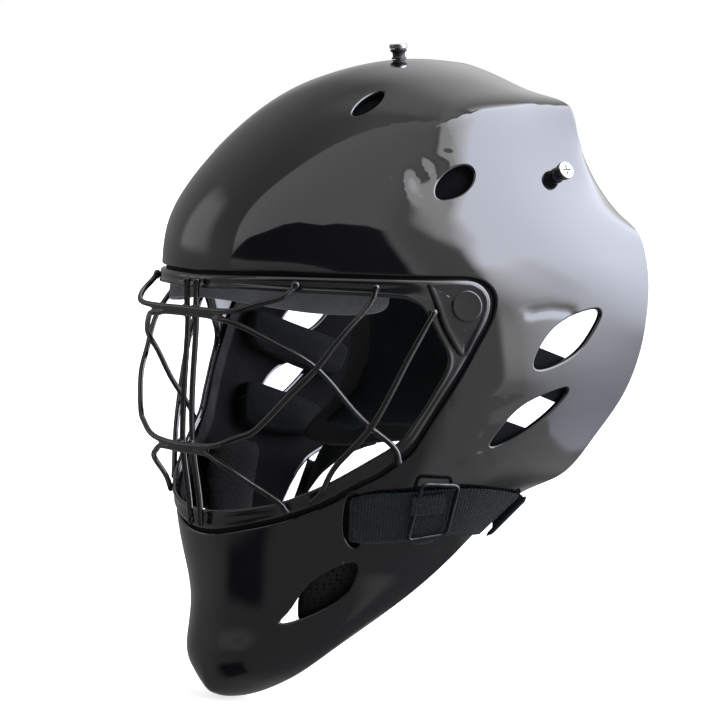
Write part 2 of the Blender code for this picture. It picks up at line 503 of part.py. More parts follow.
for tag, sgn in (("left", 1), ("right", -1)):
    P = [on_surface(np.array(p) * [sgn, 1, 1], RING_LOW + RING_T + GAP)[0] for p in CLIP]
    bm = bmesh.new()
    vv = [bm.verts.new(Vector(world(p))) for p in P]
    c, n = on_surface(np.array(CLIP_SCREW) * [sgn, 1, 1], RING_LOW + RING_T + GAP)
    vc = bm.verts.new(Vector(world(c)))
    for i in range(len(vv)):
        bm.faces.new((vv[i], vv[(i + 1) % len(vv)], vc))
    orient(bm, (0, 95, -50))
    me = bpy.data.meshes.new("clip_plate_" + tag)
    bm.to_mesh(me)
    bm.free()
    solidify(link("clip_plate_" + tag, me, M_CLIP, False), CLIP_T, 1.0)
    turned("clip_cover_" + tag, on_surface(np.array(CLIP_SCREW) * [sgn, 1, 1], RING_LOW + RING_T + 2 * GAP + CLIP_T + 0.35)[0], n,
           [(0, 0), (7.3, 0), (7.3, 0.7), (6.7, 1.2), (0, 1.4)], M_CLIP, 28)

# ---------------------------------------------------------------- cage wires
up = path(WIRE_UPPER, 15)
tube("wire_upper", np.concatenate([up, flip(up[-2::-1])]), WIRE_R, M_WIRE)
mn = path(WIRE_MAIN, 24)
tube("wire_main", np.concatenate([mn, flip(mn[-2::-1])]), WIRE_R, M_WIRE)
for tag, sgn in (("left", 1), ("right", -1)):
    S = np.array([sgn, 1, 1])
    tube("wire_diagonal_" + tag, path(WIRE_DIAG, 16) * S, WIRE_R, M_WIRE)
    tube("wire_lower_" + tag, path(WIRE_LOWER, 10) * S, WIRE_R, M_WIRE)
    tube("wire_outer_" + tag, path(WIRE_OUTER, 14) * S, WIRE_R, M_WIRE)
    tube("bar_centre_" + tag, path(BAR, 18) * S, WIRE_R + 0.15, M_WIRE)

# ---------------------------------------------------------------- studs
STUDS = [("crown", np.array(CROWN_STUD), np.array([0, -0.07, 1.0]))]
for tag, sgn in (("left", 1), ("right", -1)):
    f, n = on_surface(np.array(SIDE_STUD) * [sgn, 1, 1], 0)
    STUDS.append((tag, f, n))
for tag, f, n in STUDS:
    n = n / np.linalg.norm(n)
    lift = 0.45
    turned("stud_sleeve_" + tag, f + n * lift, n,
           [(SHANK_R + GAP, 0), (SLEEVE_R, 0), (SLEEVE_R, SLEEVE_H), (SHANK_R + GAP, SLEEVE_H), (SHANK_R + GAP, 0)], M_SLEEVE)
    top = lift + SLEEVE_H + GAP
    turned("stud_screw_" + tag, f, n,
           [(0, -8.6), (SHANK_R, -8.6), (SHANK_R, top), (CAP_R, top), (CAP_R, top + CAP_H - 0.5),
            (CAP_R - 0.5, top + CAP_H), (0, top + CAP_H)], M_STEEL)
    turned("stud_nut_" + tag, f, n,
           [(SHANK_R + GAP, -6.6), (6.5, -6.6), (6.5, -SHELL_T - 0.95), (SHANK_R + GAP, -SHELL_T - 0.95), (SHANK_R + GAP, -6.6)], M_STEEL)


# ---------------------------------------------------------------- liner
def pad(name, spec, sgn, mat):
    u0, u1, v0, v1, nr, nc, inset, thick = spec
    us = np.linspace(u0, u1, nr) / NU
    va, vb = (np.linspace(*q, nr) if isinstance(q, tuple) else np.full(nr, q) for q in (v0, v1))
    P = np.concatenate([lifted(us[i:i + 1], np.linspace(va[i], vb[i], nc), np.full((1, nc), -inset)) for i in range(nr)]) * [sgn, 1, 1]
    # draw the corners in so the outline is rounded
    c = P.mean((0, 1))
    for i in range(nr):
        for j in range(nc):
            a, b = 2 * i / (nr - 1) - 1, 2 * j / (nc - 1) - 1
            k = max(0.0, abs(a) ** 4 * abs(b) ** 4)
            if k > 1e-6:
                ii, jj = (1 if i == 0 else nr - 2 if i == nr - 1 else i), (1 if j == 0 else nc - 2 if j == nc - 1 else j)
                P[i, j] += (P[ii, jj] - P[i, j]) * 0.42 * k
    bm = sheet_grid(P)
    orient(bm, (0, 95, -45))
    bmesh.ops.reverse_faces(bm, faces=bm.faces[:])
    me = bpy.data.meshes.new(name)
    bm.to_mesh(me)
    bm.free()
    ob = link(name, me, mat)
    g = ob.vertex_groups.new(name="full")
    bm = bmesh.new()
    bm.from_mesh(ob.data)
    rim = {v.index for v in bm.verts if v.is_boundary}
    bm.free()
    g.add([i for i in range(len(ob.data.vertices)) if i not in rim], 1.0, 'REPLACE')
    solidify(ob, thick, 1.0, "full", 0.45)
    return ob


for name, spec in PADS.items():
    mat = {"sweatband": M_FELT, "jaw_pad_left": M_MESH, "chin_cup": M_PAD}.get(name, M_FOAM)
    pad(name, spec, 1, mat)
    if name.endswith("_left"):
        pad(name[:-4] + "right", spec, -1, mat)


# ---------------------------------------------------------------- harness
def webbing(name, stations, sgn, mat, count, thick=STRAP_T, across=3):
    C = np.array([on_surface(s[0][:3], s[0][3])[0] if len(s[0]) == 4 else s[0] for s in stations], float)
    D = np.array([np.array(s[1], float) / np.linalg.norm(s[1]) for s in stations])
    W = np.array([s[2] for s in stations], float)
    t = np.linspace(0, len(C) - 1, count)
    c, d, w = spline(C, t), spline(D, t), spline(W, t)
    d /= np.linalg.norm(d, axis=1, keepdims=True)
    P = np.stack([c + d * (w * k)[:, None] for k in np.linspace(-0.5, 0.5, across)], 1) * [sgn, 1, 1]
    bm = sheet_grid(P)
    me = bpy.data.meshes.new(name)
    bm.to_mesh(me)
    bm.free()
    ob = link(name, me, mat)
    solidify(ob, thick, 0.0)
    return ob


for tag, sgn in (("left", 1), ("right", -1)):
    webbing("lower_strap_" + tag, LOWER_OUT, sgn, M_WEB, 22)
    webbing("rear_strap_" + tag, LOWER_IN, sgn, M_WEB, 12)
    webbing("side_strap_" + tag, SIDE_IN, sgn, M_WEB, 8)
    # buckle: rectangular wire loop lying on the strap
    pts = []
    for q in BUCKLE:
        pts.append(np.array(q) * [sgn, 1, 1])
    loop = []
    for i in range(4):
        a, b, c = pts[i - 1], pts[i], pts[(i + 1) % 4]
        da = (a - b) / np.linalg.norm(a - b)
        dc = (c - b) / np.linalg.norm(c - b)
        for k in (0.0, 0.5, 1.0):
            loop.append(b + da * 2.2 * (1 - k) ** 2 + dc * 2.2 * k ** 2)
    tube("buckle_" + tag, loop, GLIDE_R, M_WIREB, cyclic=True)
webbing("crown_strap", CROWN_IN, 1, M_WEB, 12)

# back plate: a panel wrapped round the back of the head, with low wings, and its pad
def panel(name, margin, front, thick, mat, cols=13):
    rows = len(PLATE_W)
    P = np.zeros((rows, cols, 3))
    for i, w in enumerate(PLATE_W):
        for j in range(cols):
            b = 2 * j / (cols - 1) - 1
            t = i / (rows - 1)
            x = b * (w - margin)
            low = PLATE_LOW + margin - PLATE_DROP * b ** 4
            top = PLATE_TOP - margin - 8.0 * b ** 4
            n = np.array([2 * PLATE_BOW * x / 76.0 ** 2, 1.0, 0.0])
            P[i, j] = np.array([x, PLATE_Y - PLATE_BOW * (x / 76.0) ** 2, low + (top - low) * t]) - n / np.linalg.norm(n) * front
    bm = sheet_grid(P)
    orient(bm, (0, 400, 0))
    me = bpy.data.meshes.new(name)
    bm.to_mesh(me)
    bm.free()
    ob = link(name, me, mat)
    solidify(ob, thick, -1.0)
    return ob


panel("back_plate", 0.0, 0.0, 2.5, M_PLATE)
panel("back_pad", 4.5, 9.3, 8.2, M_FOAM)
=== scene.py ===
# Goalie face mask: the visual model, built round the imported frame.
#
# Lengths in the tables are millimetres in the mask's own table frame (origin at
# the middle of the cage's top band, X to the wearer's left, Y to the rear, Z up).
# world() moves them into the frame's metres.
import math
import bpy
import bmesh
import numpy as np
from mathutils import Matrix, Vector
from mathutils.geometry import delaunay_2d_cdt

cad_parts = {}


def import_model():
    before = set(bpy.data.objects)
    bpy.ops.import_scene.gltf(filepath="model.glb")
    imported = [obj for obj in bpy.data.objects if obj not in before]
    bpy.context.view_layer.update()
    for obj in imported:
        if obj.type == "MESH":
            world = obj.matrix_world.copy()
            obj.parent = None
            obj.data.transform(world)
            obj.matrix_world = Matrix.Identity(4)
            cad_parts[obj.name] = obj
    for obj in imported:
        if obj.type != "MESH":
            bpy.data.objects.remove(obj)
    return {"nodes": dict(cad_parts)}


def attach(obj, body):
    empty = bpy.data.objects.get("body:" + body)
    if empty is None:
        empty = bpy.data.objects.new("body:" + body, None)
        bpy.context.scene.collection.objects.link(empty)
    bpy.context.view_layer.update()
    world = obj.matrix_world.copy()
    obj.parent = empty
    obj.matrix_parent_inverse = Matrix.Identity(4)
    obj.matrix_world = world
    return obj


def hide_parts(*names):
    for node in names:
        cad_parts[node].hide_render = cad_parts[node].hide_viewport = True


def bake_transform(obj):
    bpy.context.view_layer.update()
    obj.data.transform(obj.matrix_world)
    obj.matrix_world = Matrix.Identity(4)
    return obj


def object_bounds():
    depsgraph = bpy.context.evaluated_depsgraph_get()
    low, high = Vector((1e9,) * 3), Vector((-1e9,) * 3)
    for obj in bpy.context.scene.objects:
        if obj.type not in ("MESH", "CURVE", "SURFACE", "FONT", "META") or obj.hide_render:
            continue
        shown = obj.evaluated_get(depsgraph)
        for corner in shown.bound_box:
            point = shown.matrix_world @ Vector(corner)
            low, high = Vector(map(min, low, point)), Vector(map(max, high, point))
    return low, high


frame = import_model()
CAD_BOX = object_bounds()
NODES = frame["nodes"]

MM = 0.001
HEAD = np.array([0.0, 95.0, -20.0])
SHELL_T = 3.0
RING_LOW, RING_T = -1.8, 2.5
WIRE_R = 1.45
GAP = 0.3
rng = np.random.default_rng(7)


def world(P):
    return (np.asarray(P, float) - HEAD) * MM


def flip(P):
    Q = np.array(P, float)
    Q[..., 0] *= -1
    return Q


def unit(v):
    v = np.asarray(v, float)
    return v / (np.linalg.norm(v, axis=-1, keepdims=True) + 1e-12)


# ---------------------------------------------------------------- camera
AZ, EL = math.radians(56.5), math.radians(4.5)
BACK = np.array([math.sin(AZ) * math.cos(EL), -math.cos(AZ) * math.cos(EL), math.sin(EL)])
RIGHT = np.array([math.cos(AZ), math.sin(AZ), 0.0])
UP = np.cross(BACK, RIGHT)
cam = bpy.data.cameras.new("camera")
cam.lens, cam.sensor_width, cam.sensor_fit = 147.0, 36.0, 'HORIZONTAL'
cam.clip_start, cam.clip_end = 0.05, 60.0
cam.dof.use_dof = False
camera = bpy.data.objects.new("camera", cam)
bpy.context.scene.collection.objects.link(camera)
M = np.eye(4)
M[:3, 0], M[:3, 1], M[:3, 2] = RIGHT, UP, BACK
M[:3, 3] = world(1400 * BACK + 75.24 * RIGHT - 40.48 * UP)
camera.matrix_world = Matrix(M.tolist())
bpy.context.scene.camera = camera

# ---------------------------------------------------------------- tables
NET = np.array([
    [(0.00, 148.00, 102.50), (18.00, 148.70, 99.90), (37.00, 150.40, 94.20), (58.00, 153.00, 87.30), (79.10, 156.50, 80.60), (86.62, 157.22, 67.50), (89.04, 162.46, 51.95), (89.19, 171.42, 38.26)],
    [(0.00, 115.00, 103.80), (20.00, 116.20, 101.40), (41.00, 119.50, 96.00), (61.00, 126.00, 88.60), (78.30, 134.40, 79.59), (88.75, 146.16, 62.01), (93.41, 161.31, 42.99), (95.50, 179.23, 26.84)],
    [(0.00, 78.00, 96.50), (20.00, 79.50, 95.00), (41.00, 83.50, 91.00), (61.25, 90.33, 83.80), (78.94, 100.25, 74.29), (92.21, 122.41, 53.57), (99.66, 151.55, 33.10), (102.28, 185.20, 17.37)],
    [(0.00, 46.00, 80.00), (21.00, 47.00, 78.60), (43.00, 51.50, 73.80), (64.21, 60.03, 65.20), (82.99, 75.07, 53.05), (100.22, 103.97, 32.77), (109.56, 139.77, 12.92), (109.39, 185.18, -2.97)],
    [(0.00, 19.00, 56.00), (22.00, 20.30, 54.80), (45.00, 26.00, 51.00), (67.84, 37.95, 43.52), (87.62, 59.67, 30.14), (105.69, 93.94, 12.01), (113.98, 135.68, -6.34), (113.21, 180.80, -21.77)],
    [(0.00, 3.00, 30.00), (22.00, 4.00, 29.00), (46.00, 9.50, 26.30), (69.34, 22.96, 21.54), (90.14, 47.70, 10.72), (108.21, 84.98, -4.84), (115.50, 129.71, -21.71), (112.71, 177.80, -36.74)],
    [(0.00, -2.00, 2.00), (22.00, -1.00, 1.40), (46.00, 5.00, -1.00), (69.84, 19.46, -5.44), (91.64, 44.71, -11.70), (109.22, 81.01, -24.17), (115.51, 123.75, -41.04), (109.72, 169.82, -57.68)],
    [(0.00, -3.00, -31.00), (22.00, -1.80, -31.50), (46.00, 4.80, -33.30), (69.30, 19.49, -35.93), (90.93, 43.85, -40.11), (107.53, 78.39, -49.50), (112.36, 116.17, -63.90), (103.60, 155.96, -78.65)],
    [(0.00, -2.00, -65.00), (21.00, -0.60, -65.60), (43.00, 6.20, -67.30), (65.60, 21.21, -69.73), (86.47, 44.00, -72.82), (100.51, 73.04, -79.56), (104.10, 106.90, -88.51), (96.99, 141.48, -95.50)],
    [(0.00, -0.50, -98.00), (20.00, 0.80, -98.60), (41.00, 7.40, -100.20), (60.28, 20.62, -101.96), (77.41, 40.57, -104.38), (88.33, 63.70, -107.47), (92.79, 88.65, -109.47), (91.95, 115.30, -105.85)],
    [(0.00, -0.50, -128.00), (17.00, 1.00, -128.70), (34.50, 7.50, -130.30), (50.08, 19.45, -131.69), (62.91, 35.73, -133.73), (71.49, 54.34, -135.32), (76.98, 71.33, -135.82), (80.28, 88.80, -132.95)],
    [(0.00, 2.50, -155.00), (14.00, 3.80, -155.70), (28.50, 9.50, -157.60), (41.00, 18.60, -159.80), (50.50, 30.80, -162.00), (57.00, 42.00, -163.20), (60.50, 52.50, -163.00), (62.00, 63.00, -160.00)],
    [(0.00, 0.60, -176.00), (13.00, 1.30, -177.50), (25.00, 5.20, -180.00), (34.00, 12.00, -182.50), (39.50, 21.00, -184.00), (42.00, 29.00, -184.40), (42.50, 36.00, -184.00), (41.00, 42.00, -181.50)],
    [(0.00, -0.80, -188.50), (8.50, 0.40, -190.50), (16.00, 4.20, -193.00), (21.00, 9.50, -194.80), (24.00, 15.50, -195.80), (25.50, 22.00, -196.00), (25.50, 28.00, -195.50), (24.00, 34.00, -193.50)],
    [(0.00, 0.20, -195.50), (0.00, 2.40, -199.60), (0.00, 6.00, -202.20), (0.00, 10.00, -203.60), (0.00, 14.50, -204.10), (0.00, 18.50, -204.00), (0.00, 22.50, -203.20), (0.00, 27.00, -201.60)],
], float)
RIDGE = np.array([(81.5, 157.9, 79.5), (77.2, 134.5, 80.0), (77.7, 98.4, 75.6), (75.0, 80.6, 69.0), (74.3, 70.7, 63.0)], float)
RIDGE_H, RIDGE_W = 1.6, 9.0
OPENING = [(0.0, -2.0, 2.2), (20.0, -0.9, 2.6), (38.7, 3.1, 3.0), (63.4, 15.1, 3.1), (80.6, 31.4, 2.6), (93.2, 50.8, 1.8), (100.8, 68.1, 1.3),
           (105.1, 81.9, 0.8), (107.9, 88.8, -2.0), (109.6, 92.2, -6.4), (110.5, 92.1, -12.3), (110.6, 89.2, -20.0), (109.8, 83.1, -30.0),
           (108.1, 77.4, -40.5), (104.1, 69.1, -55.8), (100.1, 63.4, -66.9), (96.1, 58.7, -76.9), (92.1, 54.2, -83.6), (84.6, 45.4, -92.0),
           (78.1, 38.3, -96.8), (71.2, 31.8, -102.2), (63.6, 25.3, -107.1), (56.1, 19.4, -110.8), (46.9, 13.2, -114.4), (36.5, 7.4, -117.5),
           (25.1, 2.7, -120.2), (13.9, 0.1, -122.4), (0.0, -0.7, -123.4)]
BAND_OUT = [(0.0, -2.2, 0.6), (20.0, -1.2, 1.0), (38.5, 2.9, 1.3), (62.9, 15.0, 1.4), (80.0, 31.3, 1.0), (92.7, 50.8, 0.3), (100.3, 67.7, -0.3),
            (104.5, 80.9, -0.8), (107.2, 86.9, -3.3), (108.8, 89.6, -7.7), (109.7, 89.6, -12.6), (109.9, 87.0, -19.6), (109.0, 81.3, -29.1),
            (107.4, 75.8, -39.5), (103.4, 67.4, -54.5), (99.4, 61.9, -65.4), (95.3, 57.1, -75.2), (90.9, 52.3, -82.1), (83.7, 44.1, -90.2),
            (77.1, 37.1, -95.0), (70.4, 30.7, -100.3), (62.9, 24.5, -105.1), (55.4, 18.6, -108.8), (46.3, 12.6, -112.3), (36.0, 7.0, -115.4),
            (24.8, 2.5, -118.2), (13.7, -0.0, -120.4), (0.0, -0.8, -121.4)]
BAND_IN = [(0.0, -2.5, -6.2), (20.0, -1.4, -5.8), (39.0, 2.8, -5.4), (63.8, 14.9, -6.1), (81.0, 30.9, -6.9), (93.4, 48.7, -8.1), (96.6, 54.1, -9.2),
           (98.6, 57.3, -11.3), (100.0, 59.7, -14.3), (101.3, 61.7, -18.0), (102.6, 63.8, -22.6), (103.9, 66.3, -28.3), (105.2, 69.1, -35.2),
           (104.6, 68.2, -42.2), (102.3, 64.3, -50.2), (99.7, 60.2, -58.4), (96.1, 55.6, -67.0), (92.0, 51.3, -74.5), (85.1, 43.8, -81.2),
           (78.1, 36.3, -87.2), (69.9, 28.4, -93.6), (61.3, 21.3, -98.8), (50.3, 13.9, -104.1), (42.0, 9.2, -106.6), (33.0, 5.1, -108.5),
           (24.0, 2.4, -110.0), (12.0, -0.0, -111.4), (0.0, -0.8, -112.0)]
CLIP = [(98.5, 61.3, -1.8), (102.6, 73.1, -1.9), (105.5, 81.7, -2.6), (107.4, 85.8, -5.1), (108.6, 87.8, -8.9), (109.4, 87.5, -13.7),
        (109.6, 85.1, -19.6), (109.0, 81.0, -27.7), (108.0, 77.5, -34.7), (107.1, 74.5, -35.5), (105.8, 71.5, -30.2), (104.2, 67.7, -22.9),
        (103.1, 66.1, -18.4), (102.2, 65.3, -14.4), (101.1, 63.9, -10.1)]
CLIP_SCREW = (106.7, 77.5, -12.3)
VENT_A = [(44.6, 56.3, 76.5), (47.6, 58.3, 76.3), (49.2, 64.0, 79.4), (47.4, 70.9, 83.4), (43.6, 74.9, 86.8), (41.0, 73.8, 87.6), (39.9, 67.5, 84.9),
          (41.5, 60.0, 80.3)]
VENT_B = [(88.7, 74.1, 38.0), (90.9, 77.9, 36.8), (92.4, 85.6, 39.2), (91.7, 92.2, 44.7), (89.4, 93.7, 49.9), (87.3, 90.0, 51.7), (86.2, 82.3, 49.3),
          (86.8, 75.8, 43.5)]
VENT_C = [(114.4, 111.5, -39.8), (114.6, 115.8, -42.4), (115.3, 126.9, -39.7), (115.3, 138.0, -33.8), (115.1, 146.6, -24.5), (114.5, 150.4, -16.3),
          (114.9, 141.2, -16.2), (114.9, 130.7, -19.2), (114.8, 121.8, -24.5), (114.7, 115.1, -32.0)]
VENT_D = [(106.8, 92.7, -78.0), (108.0, 99.3, -77.1), (110.1, 110.8, -71.3), (111.8, 122.5, -63.2), (112.8, 129.7, -56.6), (113.3, 131.6, -52.1),
          (113.3, 122.6, -53.4), (112.5, 110.3, -57.7), (110.9, 101.5, -64.2), (108.7, 95.8, -71.8)]
VENT_E = [(39.9, 18.0, -163.5), (45.6, 23.9, -162.4), (56.3, 36.0, -155.0), (63.2, 43.2, -146.5), (67.5, 44.2, -136.9), (66.4, 41.2, -133.9),
          (60.9, 34.4, -136.9), (53.7, 27.9, -143.0), (47.4, 23.6, -151.6), (43.0, 20.4, -159.0)]
SLOT = [(75.0, 35.3, -99.4), (72.5, 33.8, -105.9), (70.6, 34.1, -113.5), (69.5, 35.7, -120.7), (69.6, 39.1, -125.7), (71.3, 42.0, -126.3),
        (72.8, 41.9, -121.8), (74.1, 40.6, -112.8), (76.7, 39.1, -103.0), (76.9, 37.7, -100.0)]
WIRE_UPPER = [(62.8, 14.2, -2.6, 2.55), (63.9, 8.4, -6.0), (61.2, 3.3, -9.0), (52.5, -4.0, -12.0), (43.5, -8.0, -14.6), (26.0, -9.0, -15.4),
              (0.0, -9.2, -15.4)]
WIRE_DIAG = [(27.0, -8.6, -19.0), (34.0, -8.4, -19.3), (46.0, -3.4, -22.8), (63.3, 6.0, -31.2), (74.3, 17.6, -40.9), (80.5, 28.5, -55.2),
             (84.9, 39.5, -67.8), (90.3, 49.1, -76.9, 2.35), (90.7, 51.5, -83.9, 2.75)]
WIRE_MAIN = [(88.2, 40.7, -3.4, 2.55), (89.6, 35.4, -11.8), (86.4, 24.2, -24.0), (78.5, 14.0, -40.3), (69.9, 5.7, -52.0), (55.6, -2.6, -68.0),
             (46.5, -6.2, -72.9), (37.5, -9.0, -76.2), (24.0, -11.0, -79.4), (0.0, -11.8, -80.6)]
WIRE_LOWER = [(22.0, -10.8, -83.0), (28.0, -9.6, -85.4), (36.5, -6.0, -90.0), (44.5, 3.4, -98.0), (50.3, 13.4, -104.4, 2.90),
              (52.3, 15.3, -108.2, 2.70)]
WIRE_OUTER = [(101.7, 63.3, -14.8, 2.75), (100.9, 58.9, -22.0, 2.90), (97.7, 48.5, -41.9), (87.9, 37.7, -68.1), (74.6, 27.8, -85.9),
              (66.6, 26.2, -97.5, 2.90), (62.1, 22.8, -103.5, 2.65)]
BAR = [(4.6, -5.6, -2.6), (4.4, -5.8, -8.0), (4.1, -5.7, -15.4), (3.9, -5.6, -24.0), (3.9, -7.0, -42.0), (4.0, -8.2, -61.0), (4.6, -8.3, -79.0),
       (4.8, -7.0, -92.0), (4.9, -5.2, -104.0), (4.7, -4.3, -113.0), (4.4, -4.1, -118.0)]
CROWN_STUD = (0.0, 113.4, 103.7)
SIDE_STUD = (94.6, 139.8, 47.4)
SLEEVE_H, CAP_H, CAP_R, SLEEVE_R, SHANK_R = 4.6, 2.2, 4.4, 3.1, 1.7
LOWER_OUT = [((68.9, 41.3, -112.4), (-0.11, 0.06, -0.99), 20.0),
             ((71.3, 38.6, -112.2), (-0.13, 0.06, -0.99), 20.0),
             ((74.6, 37.5, -112.0), (-0.18, 0.06, -0.98), 22.0),
             ((80.0, 44.5, -111.3), (-0.28, 0.11, -0.95), 25.5),
             ((85.3, 58.1, -110.0, 2.3), (-0.34, 0.13, -0.93), 26.0),
             ((90.2, 70.5, -108.8, 1.9), (-0.40, 0.11, -0.91), 26.0),
             ((92.9, 82.4, -108.4, 1.9), (-0.45, 0.05, -0.89), 26.0),
             ((93.0, 95.0, -109.6, 1.9), (-0.47, -0.22, -0.85), 26.5),
             ((90.1, 108.5, -111.9, 1.9), (-0.42, -0.58, -0.70), 27.5)]
BUCKLE = [(98.2, 59.9, -94.5), (102.9, 77.3, -95.8), (92.1, 77.6, -119.7), (86.8, 59.2, -121.9)]   # corners of the wire loop
LOWER_IN = [((90.9, 113.1, -113.9), (-0.39, -0.58, -0.72), 27.0),
            ((88.2, 116.4, -114.0), (-0.39, -0.58, -0.72), 23.5),
            ((84.2, 117.2, -109.9), (-0.33, -0.49, -0.81), 20.0),
            ((77.1, 119.1, -101.5), (-0.11, -0.29, -0.95), 19.0),
            ((69.0, 123.0, -94.5), (0.05, -0.10, -1.00), 18.0),
            ((60.0, 128.6, -88.5), (0.10, 0.00, -1.00), 18.0),
            ((52.0, 135.2, -85.0), (0.10, 0.00, -1.00), 18.0)]
SIDE_IN = [((84.8, 135.8, 45.1), (0.08, 0.14, -0.99), 20.0),
           ((82.1, 139.1, 43.7), (0.09, 0.14, -0.99), 20.0),
           ((67.6, 142.2, 38.0), (0.14, 0.02, -0.99), 20.0),
           ((55.0, 144.0, 33.0), (0.15, 0.00, -1.00), 20.0),
           ((44.0, 146.0, 28.0), (0.15, 0.00, -1.00), 20.0),
           ((36.0, 150.0, 24.5), (0.15, 0.00, -1.00), 20.0)]
CROWN_IN = [((0.0, 110.0, 93.0), (1, 0, 0), 22.0),
            ((0.0, 124.0, 92.6), (1, 0, 0), 22.0),
            ((0.0, 139.0, 87.0), (1, 0, 0), 22.0),
            ((0.0, 150.5, 74.0), (1, 0, 0), 22.0),
            ((0.0, 157.6, 58.0), (1, 0, 0), 22.0),
            ((0.0, 160.8, 42.0), (1, 0, 0), 22.0),
            ((0.0, 161.2, 29.0), (1, 0, 0), 22.0)]
PLATE_Y, PLATE_BOW = 156.0, 58.0          # front face of the back plate on the centreline, how far it wraps forward
PLATE_W = [71, 74.5, 66, 59.5, 57.5, 57, 56, 53.5, 46]   # half widths, bottom row to top
PLATE_TOP, PLATE_LOW, PLATE_DROP = 38.0, -90.0, 18.0


# ---------------------------------------------------------------- surface
def second(P):
    """Second derivatives of the natural cubic through P along its first axis."""
    n = len(P)
    A = np.zeros((n, n))
    B = np.zeros((n, n))
    A[0, 0] = A[-1, -1] = 1
    for i in range(1, n - 1):
        A[i, i - 1], A[i, i], A[i, i + 1] = 1, 4, 1
        B[i, i - 1], B[i, i], B[i, i + 1] = 6, -12, 6
    return np.linalg.solve(A, B @ P.reshape(n, -1)).reshape(P.shape)


def spline(P, t):
    P = np.asarray(P, float)
    t = np.asarray(t, float)
    n = len(P)
    M = second(P)
    i = np.clip(np.floor(t).astype(int), 0, n - 2)
    f = (t - i).reshape((-1,) + (1,) * (P.ndim - 1))
    return (1 - f) * P[i] + f * P[i + 1] + ((1 - f) ** 3 - (1 - f)) * M[i] / 6 + (f ** 3 - f) * M[i + 1] / 6


_E = np.concatenate([NET, flip(NET[-2:-5:-1])], 0)
_E = np.concatenate([flip(_E[:, :0:-1]), _E], 1)
NU, NV = NET.shape[0] - 1, NET.shape[1] - 1
_K = [_E, second(_E)]
_K = [_K[0], _K[1], np.swapaxes(second(np.swapaxes(_K[0], 0, 1)), 0, 1), np.swapaxes(second(np.swapaxes(_K[1], 0, 1)), 0, 1)]


def S(u, v):
    """Points of the moulded surface at scattered (u, v); v runs from -1 to 1."""
    a = np.asarray(u, float) * NU
    b = NV + np.asarray(v, float) * NV
    i = np.clip(np.floor(a).astype(int), 0, _E.shape[0] - 2)
    j = np.clip(np.floor(b).astype(int), 0, _E.shape[1] - 2)
    f, g = a - i, b - j
    cu = [1 - f, f, ((1 - f) ** 3 - (1 - f)) / 6, (f ** 3 - f) / 6]
    cv = [1 - g, g, ((1 - g) ** 3 - (1 - g)) / 6, (g ** 3 - g) / 6]
    out = 0
    for p in (0, 1):
        for q in (0, 1):
            K = _K[p + 2 * q]
            for x in (0, 1):
                for y in (0, 1):
                    out = out + (cu[x + 2 * p] * cv[y + 2 * q])[..., None] * K[i + x, j + y]
    return out


MIDDLE = np.array([0, 90, -45.0])


def cross_normal(F, u, v, h=2e-4):
    du = F(u + h, v) - F(u - h, v)
    dv = F(u, v + h) - F(u, v - h)
    n = unit(np.cross(dv, du))
    return n * np.where(np.sum(n * (F(u, v) - MIDDLE), -1, keepdims=True) < 0, -1, 1)


def N0(u, v):
    return cross_normal(S, u, v)


def seg_dist(P, line, signed_by=None):
    best = np.full(P.shape[:-1], 1e9)
    frac = np.zeros(P.shape[:-1])
    side = np.zeros(P.shape[:-1])
    line = np.asarray(line, float)
    n = len(line) - 1
    for k in range(n):
        a, b = line[k], line[k + 1]
        t = np.clip(((P - a) @ (b - a)) / ((b - a) @ (b - a)), 0, 1)
        w = P - (a + t[..., None] * (b - a))
        d = np.linalg.norm(w, axis=-1)
        frac = np.where(d < best, (k + t) / n, frac)
        if signed_by is not None:
            side = np.where(d < best, w @ np.asarray(signed_by, float), side)
        best = np.minimum(best, d)
    if signed_by is None:
        return best, frac
    return best * np.sign(side), frac


def smooth(x):
    x = np.clip(x, 0, 1)
    return x * x * (3 - 2 * x)


def blob(A, c, ax, r1, r2, n=None):
    """Smooth bump, 1 at c: r1 along the direction ax, r2 across it."""
    ax = unit(ax)
    w = A - np.asarray(c, float)
    p = w @ ax
    q = np.linalg.norm(w - p[..., None] * ax, axis=-1)
    return np.exp(-(p / r1) ** 2 - (q / r2) ** 2)


SCOOP_B = [(81.2, 60.6, 43.9), (84.1, 67.8, 44.7), (87.2, 74.9, 44.6), (90.2, 82.1, 43.7)]
TAIL = [(83.1, 80.1, 56.7), (84.5, 77.5, 52.1), (83.4, 71.5, 49.3)]
SLIT_C = [(113.7, 105.3, -17.6), (114.2, 112.6, -15.4), (114.7, 121.7, -14.7), (115.1, 131.0, -15.8), (115.2, 137.6, -17.7)]
WEDGE_D = [(101.3, 69.4, -68.9), (104.1, 73.9, -62.8), (106.9, 80.6, -60.0), (110.5, 91.0, -56.3), (112.9, 101.7, -53.9), (114.1, 111.6, -53.1), (114.5, 126.6, -51.8)]
WEDGE_D2 = [(98.3, 73.1, -88.4), (101.4, 79.8, -84.3), (104.3, 86.9, -80.4), (106.5, 92.9, -76.8)]
SHELF = [(70.8, 44.0, -126.4), (71.7, 52.8, -133.4), (75.4, 62.8, -133.8), (80.8, 77.5, -130.0), (84.7, 93.5, -123.5)]


def groove(A, line, depth, width, ends=0.18):
    r, fr = seg_dist(A, line)
    k = smooth(fr / ends) * smooth((1 - fr) / ends)
    return -depth * np.exp(-(r / width) ** 2) * k


def terrace(A, line, height, width, reach, ends=0.15):
    """Soft step: rises across the line towards +Z and dies away within reach."""
    r, fr = seg_dist(A, line, (0, 0, 1))
    k = smooth(fr / ends) * smooth((1 - fr) / ends)
    return height * np.tanh(r / width) * np.exp(-(r / reach) ** 2) * k


